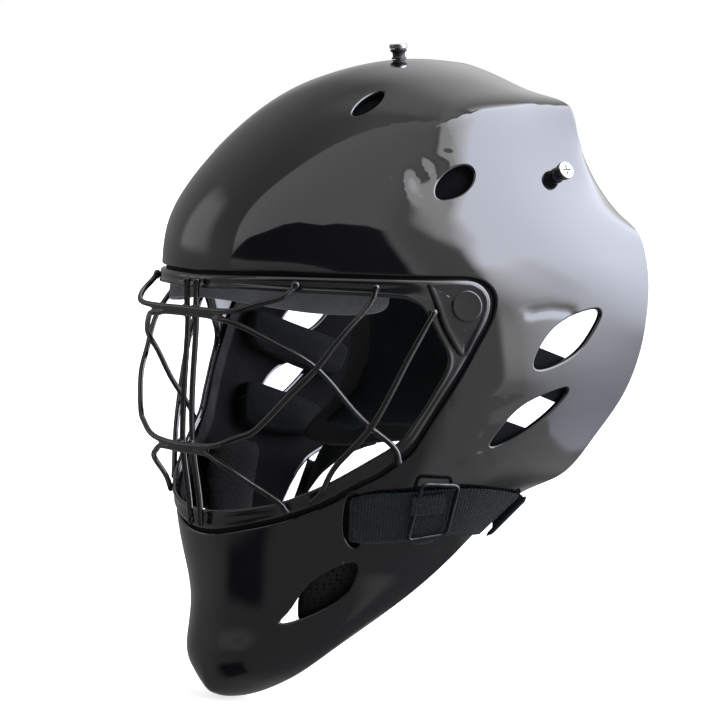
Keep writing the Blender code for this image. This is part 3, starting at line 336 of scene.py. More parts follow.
def relief(A):
    """Height of the moulded detail above the plain surface, for points A with X >= 0."""
    r, fr = seg_dist(A, RIDGE)
    h = RIDGE_H * np.exp(-r / RIDGE_W) * np.clip((1 - fr) * 3, 0, 1)
    h = h + groove(A, SCOOP_B, 0.8, 7.0, 0.35)
    h = h + groove(A, TAIL, 0.35, 6.0, 0.4)
    h = h + groove(A, SLIT_C, 0.8, 3.0)
    h = h + terrace(A, WEDGE_D, 0.45, 5.0, 14.0, 0.25)
    h = h + terrace(A, WEDGE_D2, 0.3, 4.5, 10.0, 0.3)
    h = h + terrace(A, SHELF, 0.35, 4.0, 10.0, 0.3)
    return h


def F(u, v):
    """Outer surface with its relief."""
    P = S(u, v)
    A = P * [1, 1, 1]
    A[..., 0] = np.abs(A[..., 0])
    return P + N0(u, v) * relief(A)[..., None]


def NF(u, v):
    return cross_normal(F, u, v)


_gu, _gv = np.meshgrid(np.linspace(0, 1, 201), np.linspace(-1, 1, 161), indexing="ij")
_gu, _gv = _gu.ravel(), _gv.ravel()
_gs = S(_gu, _gv)


def find_uv(P):
    """(u, v) of the surface points nearest to P."""
    P = np.atleast_2d(np.asarray(P, float))
    k = np.array([np.argmin(np.sum((_gs - p) ** 2, 1)) for p in P])
    u, v = _gu[k].copy(), _gv[k].copy()
    for _ in range(8):
        h = 1e-4
        s = S(u, v)
        a = (S(u + h, v) - S(u - h, v)) / (2 * h)
        b = (S(u, v + h) - S(u, v - h)) / (2 * h)
        w = P - s
        aa, ab, bb = np.sum(a * a, 1), np.sum(a * b, 1), np.sum(b * b, 1)
        wa, wb = np.sum(w * a, 1), np.sum(w * b, 1)
        det = aa * bb - ab * ab + 1e-9
        du, dv = (wa * bb - wb * ab) / det, (wb * aa - wa * ab) / det
        u = np.clip(u + np.clip(du, -0.02, 0.02), 0, 1.02)
        v = np.clip(v + np.clip(dv, -0.05, 0.05), -1, 1)
    return u, v


def on_surface(p, d):
    """Nearest surface point to p moved out by d, and the normal there."""
    p = np.asarray(p, float)
    u, v = find_uv(p)
    if abs(p[0]) < 0.01:
        v = v * 0
    s, n = S(u, v)[0], N0(u, v)[0]
    return s + n * d, n


def resample(P, count, closed=False):
    P = np.asarray(P, float)
    if closed:
        P = np.concatenate([P, P[:1]])
    s = np.concatenate([[0], np.cumsum(np.linalg.norm(np.diff(P, axis=0), axis=1))])
    w = np.linspace(0, s[-1], count + 1 if closed else count)
    Q = np.stack([np.interp(w, s, P[:, k]) for k in range(P.shape[1])], 1)
    return Q[:-1] if closed else Q


def curve(points, count):
    """Evenly spaced points along a smooth curve; a fourth number is a height over the surface."""
    P = np.array([on_surface(p[:3], p[3])[0] if len(p) == 4 else p[:3] for p in points], float)
    return resample(spline(P, np.linspace(0, len(P) - 1, 40 * len(P))), count)


def closed_curve(points, count):
    P = np.asarray(points, float)
    n = len(P)
    Q = np.concatenate([P[-4:], P, P[:5]])
    c = spline(Q, np.linspace(4, 4 + n, 24 * n + 1))[:-1]
    return resample(c, count, True)


def both(half):
    h = np.asarray(half, float)
    return np.concatenate([h, flip(h[-2:0:-1])], 0)


# ---------------------------------------------------------------- mesh helpers
def add_mesh(name, V, faces, mats, body="mask", smooth_shade=True, index=None):
    me = bpy.data.meshes.new(name)
    me.from_pydata([tuple(p) for p in V], [], [tuple(int(i) for i in f) for f in faces])
    for m in (mats if isinstance(mats, (list, tuple)) else [mats]):
        me.materials.append(m)
    if index is not None:
        me.polygons.foreach_set("material_index", np.asarray(index, np.int32))
    me.polygons.foreach_set("use_smooth", np.full(len(me.polygons), smooth_shade))
    me.validate(clean_customdata=False)
    me.update()
    ob = bpy.data.objects.new(name, me)
    bpy.context.scene.collection.objects.link(ob)
    if body:
        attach(ob, body)
    return ob


# ---------------------------------------------------------------- materials
class G:
    """Small helper to wire up a node material."""

    def __init__(self, name):
        self.m = bpy.data.materials.new(name)
        self.m.use_nodes = True
        self.t = self.m.node_tree
        self.b = self.t.nodes["Principled BSDF"]
        self.xyz = self.add("ShaderNodeTexCoord").outputs["Object"]

    def add(self, kind, **kw):
        n = self.t.nodes.new(kind)
        for k, v in kw.items():
            setattr(n, k, v)
        return n

    def put(self, node, name, value):
        if hasattr(value, "is_output"):
            self.t.links.new(value, node.inputs[name])
        else:
            node.inputs[name].default_value = value

    def set(self, **kw):
        for k, v in kw.items():
            self.put(self.b, k.replace("_", " "), v)
        return self

    def noise(self, scale, detail=2.0, rough=0.5, vec=None, dist=0.0):
        n = self.add("ShaderNodeTexNoise")
        self.put(n, "Vector", vec if vec is not None else self.xyz)
        self.put(n, "Scale", scale); self.put(n, "Detail", detail); self.put(n, "Roughness", rough); self.put(n, "Distortion", dist)
        return n.outputs["Fac"]

    def voronoi(self, scale, vec=None, feature='F1', rand=1.0):
        n = self.add("ShaderNodeTexVoronoi", feature=feature)
        self.put(n, "Vector", vec if vec is not None else self.xyz)
        self.put(n, "Scale", scale); self.put(n, "Randomness", rand)
        return n.outputs["Distance"]

    def math(self, op, a, b=0.0, c=0.0, clamp=False):
        n = self.add("ShaderNodeMath", operation=op, use_clamp=clamp)
        for k, x in enumerate((a, b, c)):
            self.put(n, k, x)
        return n.outputs[0]

    def ramp(self, f, *stops):
        n = self.add("ShaderNodeValToRGB")
        e = n.color_ramp.elements
        while len(e) < len(stops):
            e.new(0.5)
        for x, (p, c) in zip(e, stops):
            x.position = p
            x.color = (*c, 1) if isinstance(c, (tuple, list)) else (c, c, c, 1)
        self.put(n, "Fac", f)
        return n.outputs["Color"]

    def range(self, f, a, b, c, d):
        n = self.add("ShaderNodeMapRange")
        for k, x in zip(("Value", "From Min", "From Max", "To Min", "To Max"), (f, a, b, c, d)):
            self.put(n, k, x)
        return n.outputs[0]

    def mix(self, f, a, b):
        n = self.add("ShaderNodeMix", data_type='RGBA')
        self.put(n, 0, f)
        for k, x in ((6, a), (7, b)):
            self.put(n, k, x if hasattr(x, "is_output") else (*x, 1))
        return n.outputs[2]

    def bump(self, height, strength=0.5, dist=0.001, normal=None):
        n = self.add("ShaderNodeBump")
        self.put(n, "Height", height); self.put(n, "Strength", strength); self.put(n, "Distance", dist)
        if normal is not None:
            self.put(n, "Normal", normal)
        return n.outputs["Normal"]

    def uv(self):
        return self.add("ShaderNodeTexCoord").outputs["UV"]

    def split(self, vec):
        n = self.add("ShaderNodeSeparateXYZ")
        self.put(n, 0, vec)
        return n.outputs

    def stretch(self, sx, sy, sz, vec=None):
        n = self.add("ShaderNodeMapping")
        self.put(n, "Vector", vec if vec is not None else self.xyz)
        n.inputs["Scale"].default_value = (sx, sy, sz)
        return n.outputs[0]


MAT = {}

g = G("shell_gloss_black")
peel = g.noise(420, 2.0, 0.5)
waves = g.noise(38, 1.0, 0.4)
h = g.math('ADD', g.math('MULTIPLY', peel, 0.02), g.math('MULTIPLY', waves, 0.30))
nrm = g.bump(h, 0.10, 0.0006)
speck = g.math('LESS_THAN', g.voronoi(95), 0.035)
g.set(Base_Color=g.mix(speck, (0.0035, 0.0035, 0.0042), (0.05, 0.05, 0.05)), IOR=1.5, Coat_Weight=1.0, Coat_Roughness=0.015, Coat_IOR=1.5,
      Roughness=g.range(g.noise(60, 3), 0.3, 0.7, 0.05, 0.09), Normal=nrm, Coat_Normal=nrm)
MAT["shell"] = g.m

g = G("shell_inner_face")
grain = g.noise(900, 3, 0.6)
g.set(Base_Color=g.ramp(g.noise(25, 3), (0.35, (0.0016, 0.0016, 0.0018)), (0.7, (0.0035, 0.0035, 0.004))), Roughness=g.range(g.noise(45, 2), 0.3, 0.7, 0.62, 0.8), Specular_IOR_Level=0.05,
      Normal=g.bump(grain, 0.15, 0.0003))
MAT["shell_inside"] = g.m


# ---------------------------------------------------------------- shell
SU, SV = 640.0, 236.0                     # rough lengths of the surface along u and v, for even triangles


def hole_loop(outline, r, count):
    """A hole's outline drawn back by r into the wall along its 3-D frame, as (u, v)."""
    L = closed_curve(outline, count)
    u, v = find_uv(L)
    for _ in range(1):
        P, N = F(u, v), NF(u, v)
        T = unit(np.roll(P, -1, 0) - np.roll(P, 1, 0))
        B = unit(np.cross(T, N))
        c = P.mean(0)
        if np.sum(B * (c - P)) < 0:
            B = -B
        u, v = find_uv(S(u, v) - B * r)
    return u, v


def build_shell():
    step_u, step_v = 2.3 / SU, 2.3 / SV
    holes = []
    n_open = 420
    holes.append((hole_loop(both(OPENING), 1.1, n_open), 1.1))
    for sgn in (1, -1):
        for out, r, n in ((VENT_A, 1.0, 72), (VENT_B, 1.1, 72), (VENT_C, 1.2, 110), (VENT_D, 1.2, 110), (VENT_E, 1.2, 110), (SLOT, 0.9, 90)):
            holes.append((hole_loop(np.asarray(out, float) * [sgn, 1, 1], r, n), r))
        p, n_ = on_surface(np.array(SIDE_STUD) * [sgn, 1, 1], 0)
        a = unit(np.cross(n_, [0, 0, 1.0])); b = np.cross(n_, a)
        t = np.linspace(0, 2 * math.pi, 24, endpoint=False)[:, None]
        holes.append((hole_loop(p + 2.1 * (np.cos(t) * a + np.sin(t) * b), 0.3, 24), 0.3))
    t = np.linspace(0, 2 * math.pi, 24, endpoint=False)
    holes.append((hole_loop(np.array(CROWN_STUD) + 2.1 * np.stack([np.cos(t), np.sin(t), 0 * t], 1), 0.3, 24), 0.3))

    # outer rectangle of the domain with the rear corners rounded, drawn back by the edge radius
    er = 1.3
    eu, ev = er / SU, er / SV
    cu, cv = 3.5 / SU, 3.5 / SV
    nu_, nv_ = 300, 110
    side = np.linspace(1.0, eu + cu, nu_)
    edge = [(x, 1 - ev) for x in side]
    edge += [(eu + cu - cu * math.sin(a), 1 - ev - cv + cv * math.cos(a)) for a in np.linspace(0, math.pi / 2, 5)[1:]]
    edge += [(eu, x) for x in np.linspace(1 - ev - cv, 0, nv_)[1:]]
    edge = np.array(edge)
    edge = np.concatenate([edge, edge[-2::-1] * [1, -1]])

    pts, cons = [], []
    loops = []

    def push(u, v, closed):
        base = len(pts)
        pts.extend(zip(u, v))
        n = len(u)
        for k in range(n if closed else n - 1):
            cons.append((base + k, base + (k + 1) % n))
        loops.append(np.arange(base, base + n))

    push(edge[:, 0], edge[:, 1], False)
    seam_v = np.linspace(-(1 - ev), 1 - ev, 2 * int((1 - ev) / step_v) + 1)
    base = len(pts)
    pts.extend((1.0, x) for x in seam_v[1:-1])
    chain = [len(edge) - 1] + list(range(base, len(pts))) + [0]
    cons.extend(zip(chain[:-1], chain[1:]))
    n_seam = len(pts)
    for (u, v), r in holes:
        push(u, v, True)

    gu = np.linspace(0, 1, int(1 / step_u) + 1)[1:-1]
    gv = np.linspace(-1, 1, 2 * int(1 / step_v) + 1)[1:-1]
    U, V = np.meshgrid(gu, gv, indexing="ij")
    U, V = U.ravel(), V.ravel()
    keep = (np.abs(V) < 1 - ev - 0.6 * step_v) & (U > eu + 0.6 * step_u)
    # inside tests and clearance from the loops
    for (u, v), r in holes:
        x, y = u * SU, v * SV
        box = (U * SU > x.min() - 4) & (U * SU < x.max() + 4) & (V * SV > y.min() - 4) & (V * SV < y.max() + 4) & keep
        k = np.nonzero(box)[0]
        px, py = U[k] * SU, V[k] * SV
        inside = np.zeros(len(k), bool)
        near = np.full(len(k), 1e9)
        for a in range(len(x)):
            b = (a + 1) % len(x)
            cond = (y[a] > py) != (y[b] > py)
            xi = x[a] + (py - y[a]) / (y[b] - y[a] + 1e-12) * (x[b] - x[a])
            inside ^= cond & (px < xi)
            near = np.minimum(near, np.hypot(px - x[a], py - y[a]))
        keep[k[inside | (near < 1.2)]] = False
    U, V = U[keep], V[keep]
    pts.extend(zip(U, V))
    co = [Vector((a * SU, b * SV)) for a, b in pts]
    out = delaunay_2d_cdt(co, cons, [], 1, 1e-5)
    vv = np.array([(a.x / SU, a.y / SV) for a in out[0]])
    tri = np.array([f for f in out[2] if len(f) == 3], int)
    remap = np.full(len(pts), -1)
    for new, olds in enumerate(out[3]):
        for o in olds:
            remap[o] = new
    # drop the faces inside holes
    cen = vv[tri].mean(1)
    dead = np.zeros(len(tri), bool)
    for (u, v), r in holes:
        x, y = u * SU, v * SV
        px, py = cen[:, 0] * SU, cen[:, 1] * SV
        k = np.nonzero((px > x.min()) & (px < x.max()) & (py > y.min()) & (py < y.max()))[0]
        inside = np.zeros(len(k), bool)
        for a in range(len(x)):
            b = (a + 1) % len(x)
            cond = (y[a] > py[k]) != (y[b] > py[k])
            xi = x[a] + (py[k] - y[a]) / (y[b] - y[a] + 1e-12) * (x[b] - x[a])
            inside ^= cond & (px[k] < xi)
        dead[k[inside]] = True
    tri = tri[~dead]
    u, v = vv[:, 0], vv[:, 1]
    P, N = F(u, v), NF(u, v)
    on_seam = u > 1 - 1e-6
    P[on_seam, 0] = 0
    N[on_seam, 0] = 0
    N = unit(N)
    mid = np.abs(v) < 1e-7
    N[mid, 0] = 0
    N = unit(N)
    I = P - N * SHELL_T
    I[on_seam | mid, 0] = 0
    # winding: outer faces look outward
    a, b, c = P[tri[:, 0]], P[tri[:, 1]], P[tri[:, 2]]
    fn = np.cross(b - a, c - a)
    wrong = np.sum(fn * (N[tri[:, 0]]), 1) < 0
    tri[wrong] = tri[wrong][:, ::-1]
    # weld the under-chin seam
    n = len(u)
    weld = np.arange(n)
    sm = np.nonzero(on_seam)[0]
    for k in sm:
        if v[k] < -1e-7:
            j = sm[np.argmin(np.abs(v[sm] + v[k]))]
            weld[k] = j
    verts = [P, I]
    faces = [weld[tri], weld[tri][:, ::-1] + n]
    kinds = [np.zeros(len(tri), int), np.ones(len(tri), int)]
    norms = [N, -N]
    total = 2 * n
    rim_faces = []
    for li, L in enumerate(loops):
        idx = weld[remap[L]]
        r = er if li == 0 else holes[li - 1][1]
        if li == 0:
            idx = idx[:-1]
        ri = 0.5
        pp, nn = P[idx], N[idx]
        T = unit(np.roll(pp, -1, 0) - np.roll(pp, 1, 0))
        B = unit(np.cross(T, nn))
        if li == 0:
            w = (pp + B * 1.0)
            s = np.sum(B * (pp - MIDDLE)) > 0
            if np.sum(B * (pp - MIDDLE) * (np.abs(pp[:, :1]) > -1)) < 0:
                B = -B
        else:
            if np.sum(B * (pp.mean(0) - pp)) < 0:
                B = -B
        rings = [idx]
        offs = [(r * math.sin(p), -r * (1 - math.cos(p))) for p in np.linspace(0, math.pi / 2, 6)[1:]]
        offs += [(r, -(SHELL_T - ri))]
        offs += [(r - ri * (1 - math.cos(p)), -(SHELL_T - ri) - ri * math.sin(p)) for p in np.linspace(0, math.pi / 2, 4)[1:]]
        for da, db in offs:
            Q = pp + B * da + nn * db
            verts.append(Q)
            norms.append(np.zeros_like(Q))
            rings.append(np.arange(total, total + len(idx)))
            total += len(idx)
        rings.append(idx + n)
        for a, b in zip(rings[:-1], rings[1:]):
            for k in range(len(idx)):
                k2 = (k + 1) % len(idx)
                rim_faces.append((a[k], a[k2], b[k2], b[k]))
    V = np.concatenate(verts)
    NN = np.concatenate(norms)
    rf = np.array(rim_faces)
    # winding of the rims: away from the wall's middle
    tris = np.concatenate(faces)
    allf = [tuple(f) for f in tris] + [tuple(f) for f in rf]
    kinds = np.concatenate(kinds + [np.zeros(len(rf), int)])
    me = bpy.data.meshes.new("shell_skin")
    me.from_pydata([tuple(p) for p in world(V)], [], [tuple(int(i) for i in f) for f in allf])
    me.materials.append(MAT["shell"])
    me.materials.append(MAT["shell_inside"])
    me.polygons.foreach_set("material_index", kinds.astype(np.int32))
    me.polygons.foreach_set("use_smooth", np.ones(len(me.polygons), bool))
    bm = bmesh.new()
    bm.from_mesh(me)
    lay = bm.verts.layers.float_vector.new("n0")
    bm.verts.ensure_lookup_table()
    for k, vert in enumerate(bm.verts):
        vert[lay] = Vector(NN[k])
    loose = [x for x in bm.verts if not x.link_faces]
    bmesh.ops.delete(bm, geom=loose, context='VERTS')
    bmesh.ops.recalc_face_normals(bm, faces=bm.faces)
    bm.verts.ensure_lookup_table()
    keep_n = [tuple(x[lay]) for x in bm.verts]
    bm.to_mesh(me)
    bm.free()
    me.update()
    # keep the exact normals of the moulded faces, so that reflections run clean
    vn = np.array([x.normal for x in me.vertices])
    kn = np.array(keep_n)
    zero = np.linalg.norm(kn, axis=1) < 0.5
    kn[zero] = vn[zero]
    flipped = np.sum(kn * vn, 1) < 0
    kn[flipped] = -kn[flipped]
    me.normals_split_custom_set_from_vertices([tuple(x) for x in unit(kn)])
    ob = bpy.data.objects.new("shell_skin", me)
    bpy.context.scene.collection.objects.link(ob)
    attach(ob, "mask")
    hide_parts("shell")
    return ob


shell = build_shell()


# ---------------------------------------------------------------- cage
g = G("cage_coating")
n1 = g.noise(700, 2, 0.5)
n2 = g.noise(150, 2, 0.5)
hh = g.math('ADD', g.math('MULTIPLY', n1, 0.25), n2)
nb = g.bump(hh, 0.22, 0.0004)
wear = g.ramp(g.noise(55, 4, 0.6), (0.60, (0.0020, 0.0020, 0.0022)), (0.78, (0.005, 0.005, 0.0055)))
g.set(Base_Color=wear, Roughness=g.range(g.noise(90, 3), 0.3, 0.7, 0.12, 0.22), Coat_Weight=0.8, Coat_Roughness=0.05, Normal=nb, Coat_Normal=nb)
MAT["wire"] = g.m

g = G("frame_gloss_coating")
nb = g.bump(g.math('ADD', g.math('MULTIPLY', g.noise(600, 2), 0.2), g.noise(45, 1)), 0.10, 0.0005)
g.set(Base_Color=g.ramp(g.noise(30, 3), (0.4, (0.0035, 0.0035, 0.004)), (0.75, (0.006, 0.006, 0.0065))), Roughness=g.range(g.noise(70, 3), 0.3, 0.7, 0.10, 0.17),
      Coat_Weight=1.0, Coat_Roughness=0.03, Normal=nb, Coat_Normal=nb)
MAT["frame"] = g.m

g = G("clip_moulded")
nb = g.bump(g.noise(1100, 3, 0.6), 0.25, 0.0002)
g.set(Base_Color=g.ramp(g.noise(40, 3), (0.4, (0.003, 0.003, 0.0035)), (0.75, (0.006, 0.006, 0.0065))), Roughness=g.range(g.noise(60, 3), 0.3, 0.7, 0.14, 0.22),
      Coat_Weight=0.6, Coat_Roughness=0.08, Normal=nb)
MAT["clip"] = g.m


def frames_along(P, closed=False):
    """Tangent and a twist-free pair of cross directions along a polyline."""
    T = np.roll(P, -1, 0) - np.roll(P, 1, 0)
    if not closed:
        T[0], T[-1] = P[1] - P[0], P[-1] - P[-2]
    T = unit(T)
    A = np.zeros_like(P)
    a = np.cross(T[0], [0, 0, 1.0])
    if np.linalg.norm(a) < 0.2:
        a = np.cross(T[0], [1.0, 0, 0])
    A[0] = unit(a)
    for k in range(1, len(P)):
        a = A[k - 1] - T[k] * (A[k - 1] @ T[k])
        A[k] = unit(a)
    return T, A, np.cross(T, A)


def tube_mesh(P, r, sides=10, flat=1.0, cap=True, out=None):
    """Vertices and faces of a round (or flattened) rod; r may vary along it."""
    P = np.asarray(P, float)
    T, A, B = frames_along(P)
    if out is not None:
        A = unit(out - T * np.sum(out * T, 1, keepdims=True))
        B = np.cross(T, A)
    r = np.broadcast_to(np.asarray(r, float), (len(P),))
    if cap:      # rounded ends
        ends = [0.35, 0.75, 0.95]
        pre = [P[0] - T[0] * r[0] * k for k in (1.0, 0.72, 0.38)]
        post = [P[-1] + T[-1] * r[-1] * k for k in (0.38, 0.72, 1.0)]
        rr = [r[0] * 0.05, r[0] * 0.69, r[0] * 0.925]
        P = np.concatenate([pre, P, post])
        r = np.concatenate([rr, r, [x * r[-1] / r[0] for x in rr[::-1]]])
        A = np.concatenate([[A[0]] * 3, A, [A[-1]] * 3])
        B = np.concatenate([[B[0]] * 3, B, [B[-1]] * 3])
    t = np.linspace(0, 2 * math.pi, sides, endpoint=False)
    V = P[:, None] + r[:, None, None] * (np.cos(t)[None, :, None] * A[:, None] * flat + np.sin(t)[None, :, None] * B[:, None])
    n = len(P)
    F_ = [(i * sides + j, i * sides + (j + 1) % sides, (i + 1) * sides + (j + 1) % sides, (i + 1) * sides + j) for i in range(n - 1) for j in range(sides)]
    F_ += [tuple(range(sides - 1, -1, -1)), tuple((n - 1) * sides + j for j in range(sides))]
    return V.reshape(-1, 3), F_


def ball(c, r, n=None, squash=1.0, seg=12):
    V, Fc = [], []
    z = unit(n if n is not None else [0, 0, 1.0])
    x = np.cross(z, [0, 0, 1.0])
    x = unit(x if np.linalg.norm(x) > 0.2 else np.cross(z, [1.0, 0, 0]))
    y = np.cross(z, x)
    rows = 7
    for i in range(rows):
        p = math.pi * (i + 0.02) / (rows - 1 + 0.04)
        for j in range(seg):
            t = 2 * math.pi * j / seg
            V.append(np.asarray(c) + r * (math.sin(p) * (math.cos(t) * x + math.sin(t) * y) + squash * math.cos(p) * z))
    for i in range(rows - 1):
        for j in range(seg):
            Fc.append((i * seg + j, i * seg + (j + 1) % seg, (i + 1) * seg + (j + 1) % seg, (i + 1) * seg + j))
    Fc += [tuple(range(seg - 1, -1, -1)), tuple((rows - 1) * seg + j for j in range(seg))]
    return np.array(V), Fc


def merge(parts):
    V, Fc, k = [], [], 0
    for v, f in parts:
        V.append(v)
        Fc += [tuple(i + k for i in q) for q in f]
        k += len(v)
    return np.concatenate(V), Fc


def apply_mods(ob):
    dg = bpy.context.evaluated_depsgraph_get()
    me = bpy.data.meshes.new_from_object(ob.evaluated_get(dg), depsgraph=dg)
    old = ob.data
    ob.modifiers.clear()
    ob.data = me
    me.polygons.foreach_set("use_smooth", np.ones(len(me.polygons), bool))
    bpy.data.meshes.remove(old)
    return ob


parts, lines = [], {}
up = curve(WIRE_UPPER, 70)
lines["up"] = np.concatenate([up, flip(up[-2::-1])])
mn = curve(WIRE_MAIN, 110)
lines["main"] = np.concatenate([mn, flip(mn[-2::-1])])
for tag, sgn in (("l", 1), ("r", -1)):
    Sg = np.array([sgn, 1, 1])
    dg_ = [(0.0, -9.0, -17.9), (12.0, -8.95, -17.9), (22.0, -8.8, -18.2)] + list(WIRE_DIAG[0:])
    lines["diag" + tag] = curve(dg_, 90) * Sg
    lw = [(0.0, -11.7, -82.9), (12.0, -11.4, -82.7)] + list(WIRE_LOWER)
    lines["low" + tag] = curve(lw, 60) * Sg
    lines["out" + tag] = curve(WIRE_OUTER, 80) * Sg
    lines["bar" + tag] = curve(BAR, 70) * Sg
for k, L in lines.items():
    r = WIRE_R + (0.1 if k.startswith("bar") else 0.05)
    parts.append(tube_mesh(L, r, 10))


def nearest_pair(A, B):
    d = np.linalg.norm(A[:, None] - B[None], axis=-1)
    i, j = np.unravel_index(np.argmin(d), d.shape)
    return (A[i] + B[j]) / 2, A[i], B[j], d[i, j]


def bead(a, b, r=1.55):
    c, p, q, d = nearest_pair(lines[a], lines[b])
    if d < 5.0:
        parts.append(ball(c, max(r, d / 2 + 0.2), unit(q - p), 1.0))
    return c


for s_ in ("l", "r"):
    for a, b in (("main", "diag" + s_), ("out" + s_, "diag" + s_), ("out" + s_, "main"), ("bar" + s_, "up"), ("bar" + s_, "diag" + s_), ("bar" + s_, "main"), ("bar" + s_, "low" + s_)):
        bead(a, b)
# wires that join on the nearer side of the crossing keep their own half
for s_, sgn in (("l", 1), ("r", -1)):
    Sg = np.array([sgn, 1, 1])
    for key, p, r, sq in (("up", WIRE_UPPER[0], 2.5, 0.8), ("main", WIRE_MAIN[0], 1.9, 0.8), ("bar", BAR[0], 2.15, 0.9), ("diag", WIRE_DIAG[-1], 2.0, 0.7),
                          ("low", WIRE_LOWER[-1], 1.9, 0.7), ("out", WIRE_OUTER[0], 1.9, 0.7), ("out", WIRE_OUTER[-1], 1.9, 0.7), ("bar", BAR[-1], 2.0, 0.9)):
        q = on_surface(p[:3], p[3])[0] if len(p) == 4 else np.array(p[:3], float)
        n_ = on_surface(p[:3], 0)[1]
        parts.append(ball(q * Sg, r, n_ * Sg, sq))
V, Fc = merge(parts)
wires = add_mesh("cage_wires", world(V), Fc, MAT["wire"])
m_ = wires.modifiers.new("weld", 'REMESH')
m_.mode = 'VOXEL'
m_.voxel_size = 0.00050
m_ = wires.modifiers.new("blend", 'SMOOTH')
m_.factor, m_.iterations = 0.5, 6
apply_mods(wires)
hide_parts("wire_upper", "wire_main", "wire_diagonal_left", "wire_diagonal_right", "wire_lower_left", "wire_lower_right",
            "wire_outer_left", "wire_outer_right", "bar_centre_left", "bar_centre_right")


# the band: a flat ring with a rounded outer edge and a rolled inner lip
def ring_profile():
    """(fraction from outer edge to inner edge, height over the surface, shift across in mm)"""
    p = []
    lo, hi = RING_LOW, RING_LOW + RING_T
    for a in np.linspace(-90, 90, 7):
        p.append((0.0, (lo + hi) / 2 + 0.95 * math.sin(math.radians(a)), 0.95 * (1 - math.cos(math.radians(a)))))
    p[0] = (0.0, lo, 1.0)
    for f, h in ((0.18, hi - 0.02), (0.36, hi - 0.10), (0.56, hi - 0.16), (0.72, hi - 0.10)):
        p.append((f, h, 0.0))
    for a in np.linspace(120, -90, 11):
        p.append((1.0, hi - 0.75 + 1.15 * math.sin(math.radians(a)), -1.15 - 0.0 + 1.15 * math.cos(math.radians(a))))
    p.append((1.0, lo - 0.4, -1.3))
    p.append((0.80, lo, 0.0))
    p.append((0.4, lo, 0.0))
    return p


def band():
    n = 300
    A = closed_curve(both(BAND_OUT), n)
    Bq = both(BAND_IN)
    Bc = closed_curve(Bq, n)
    # pair the loops by angle round the opening so that the section stays square to the band
    Bf = closed_curve(Bq, 3000)
    k = np.array([np.argmin(np.sum((Bf - a) ** 2, 1)) for a in A])
    # monotone, smoothed pairing
    k = np.unwrap(k / 3000 * 2 * math.pi) / (2 * math.pi)
    ker = np.ones(9) / 9
    kk = np.convolve(np.concatenate([k[-4:] - 1 if k[-1] > 0.5 else k[-4:], k, k[:4] + 1]), ker, 'valid')
    idx = np.round(kk * 3000).astype(int) % 3000
    Bm = Bf[idx]
    ua, va = find_uv(A)
    ub, vb = find_uv(Bm)
    prof = ring_profile()
    rows = []
    N_a, N_b = N0(ua, va), N0(ub, vb)
    Sa, Sb = S(ua, va), S(ub, vb)
    for f, h, dx in prof:
        u, v = ua * (1 - f) + ub * f, va * (1 - f) + vb * f
        W = unit(Sb - Sa)
        rows.append(S(u, v) + N0(u, v) * h + W * dx)
    R = np.stack(rows, 1)
    m = R.shape[1]
    V = R.reshape(-1, 3)
    Fc = [(i * m + j, i * m + (j + 1) % m, ((i + 1) % n) * m + (j + 1) % m, ((i + 1) % n) * m + j) for i in range(n) for j in range(m)]
    ob = add_mesh("cage_frame", world(V), Fc, MAT["frame"])
    bm = bmesh.new(); bm.from_mesh(ob.data)
    bmesh.ops.recalc_face_normals(bm, faces=bm.faces)
    bm.to_mesh(ob.data); bm.free()
    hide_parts("cage_band")
    return ob


band()


# corner clips: plate with rounded edges, notch at its front, and a round cap with a shallow dish
def clip(tag, sgn):
    top = RING_LOW + RING_T + GAP + 2.0
    low = RING_LOW + RING_T + 0.1
    L = resample(np.array(CLIP, float), 140, True)
    # round the polygon's corners a little
    for _ in range(4):
        L = (np.roll(L, 1, 0) + 2 * L + np.roll(L, -1, 0)) / 4
    u, v = find_uv(L)
    c = L.mean(0)
    Sx, Nx = S(u, v), N0(u, v)
    T = unit(np.roll(Sx, -1, 0) - np.roll(Sx, 1, 0))
    W = unit(np.cross(T, Nx))
    if np.sum(W * (c - Sx)) < 0:
        W = -W
    rows = [Sx + Nx * low]
    for a in np.linspace(0, 90, 5):
        t = math.radians(a)
        rows.append(Sx + Nx * (top - 0.7 + 0.7 * math.sin(t)) + W * 0.7 * (1 - math.cos(t)))
    rows.append(Sx + Nx * (top + 0.0) + W * 1.5)
    rows.append(Sx + Nx * (top - 0.28) + W * 2.1)
    cc, nc_ = on_surface(CLIP_SCREW, 0)
    for f in (0.25, 0.5, 0.75, 0.92):
        Q = (Sx + W * 2.1) * (1 - f) + cc * f
        uu, vv = find_uv(Q)
        rows.append(S(uu, vv) + N0(uu, vv) * (top - 0.28))
    R = np.array(rows)
    m, n = R.shape[:2]
    V = R.reshape(-1, 3)
    Fc = [(i * n + j, i * n + (j + 1) % n, (i + 1) * n + (j + 1) % n, (i + 1) * n + j) for i in range(m - 1) for j in range(n)]
    Fc.append(tuple((m - 1) * n + j for j in range(n)))
    Fc.append(tuple(j for j in range(n - 1, -1, -1)))
    V = V * [sgn, 1, 1]
    ob = add_mesh("clip_body_" + tag, world(V), Fc, MAT["clip"])
    bm = bmesh.new(); bm.from_mesh(ob.data)
    bmesh.ops.recalc_face_normals(bm, faces=bm.faces)
    bm.to_mesh(ob.data); bm.free()
    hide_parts("clip_plate_" + tag)
    # cap
    p, n_ = on_surface(np.array(CLIP_SCREW) * [sgn, 1, 1], top - 0.3)
    prof = [(0, 0.55), (2.0, 0.55), (4.6, 0.62), (6.2, 0.75), (6.75, 0.78), (7.15, 0.62), (7.35, 0.25), (7.4, -0.2)]
    turned_mesh("clip_cap_" + tag, p, n_, prof, MAT["clip"], 48, "clip_cover_" + tag)


def axes(n):
    z = unit(n)
    x = np.cross([0, 0, 1.0], z)
    x = unit(x if np.linalg.norm(x) > 0.2 else np.cross([1.0, 0, 0], z))
    return x, np.cross(z, x), z


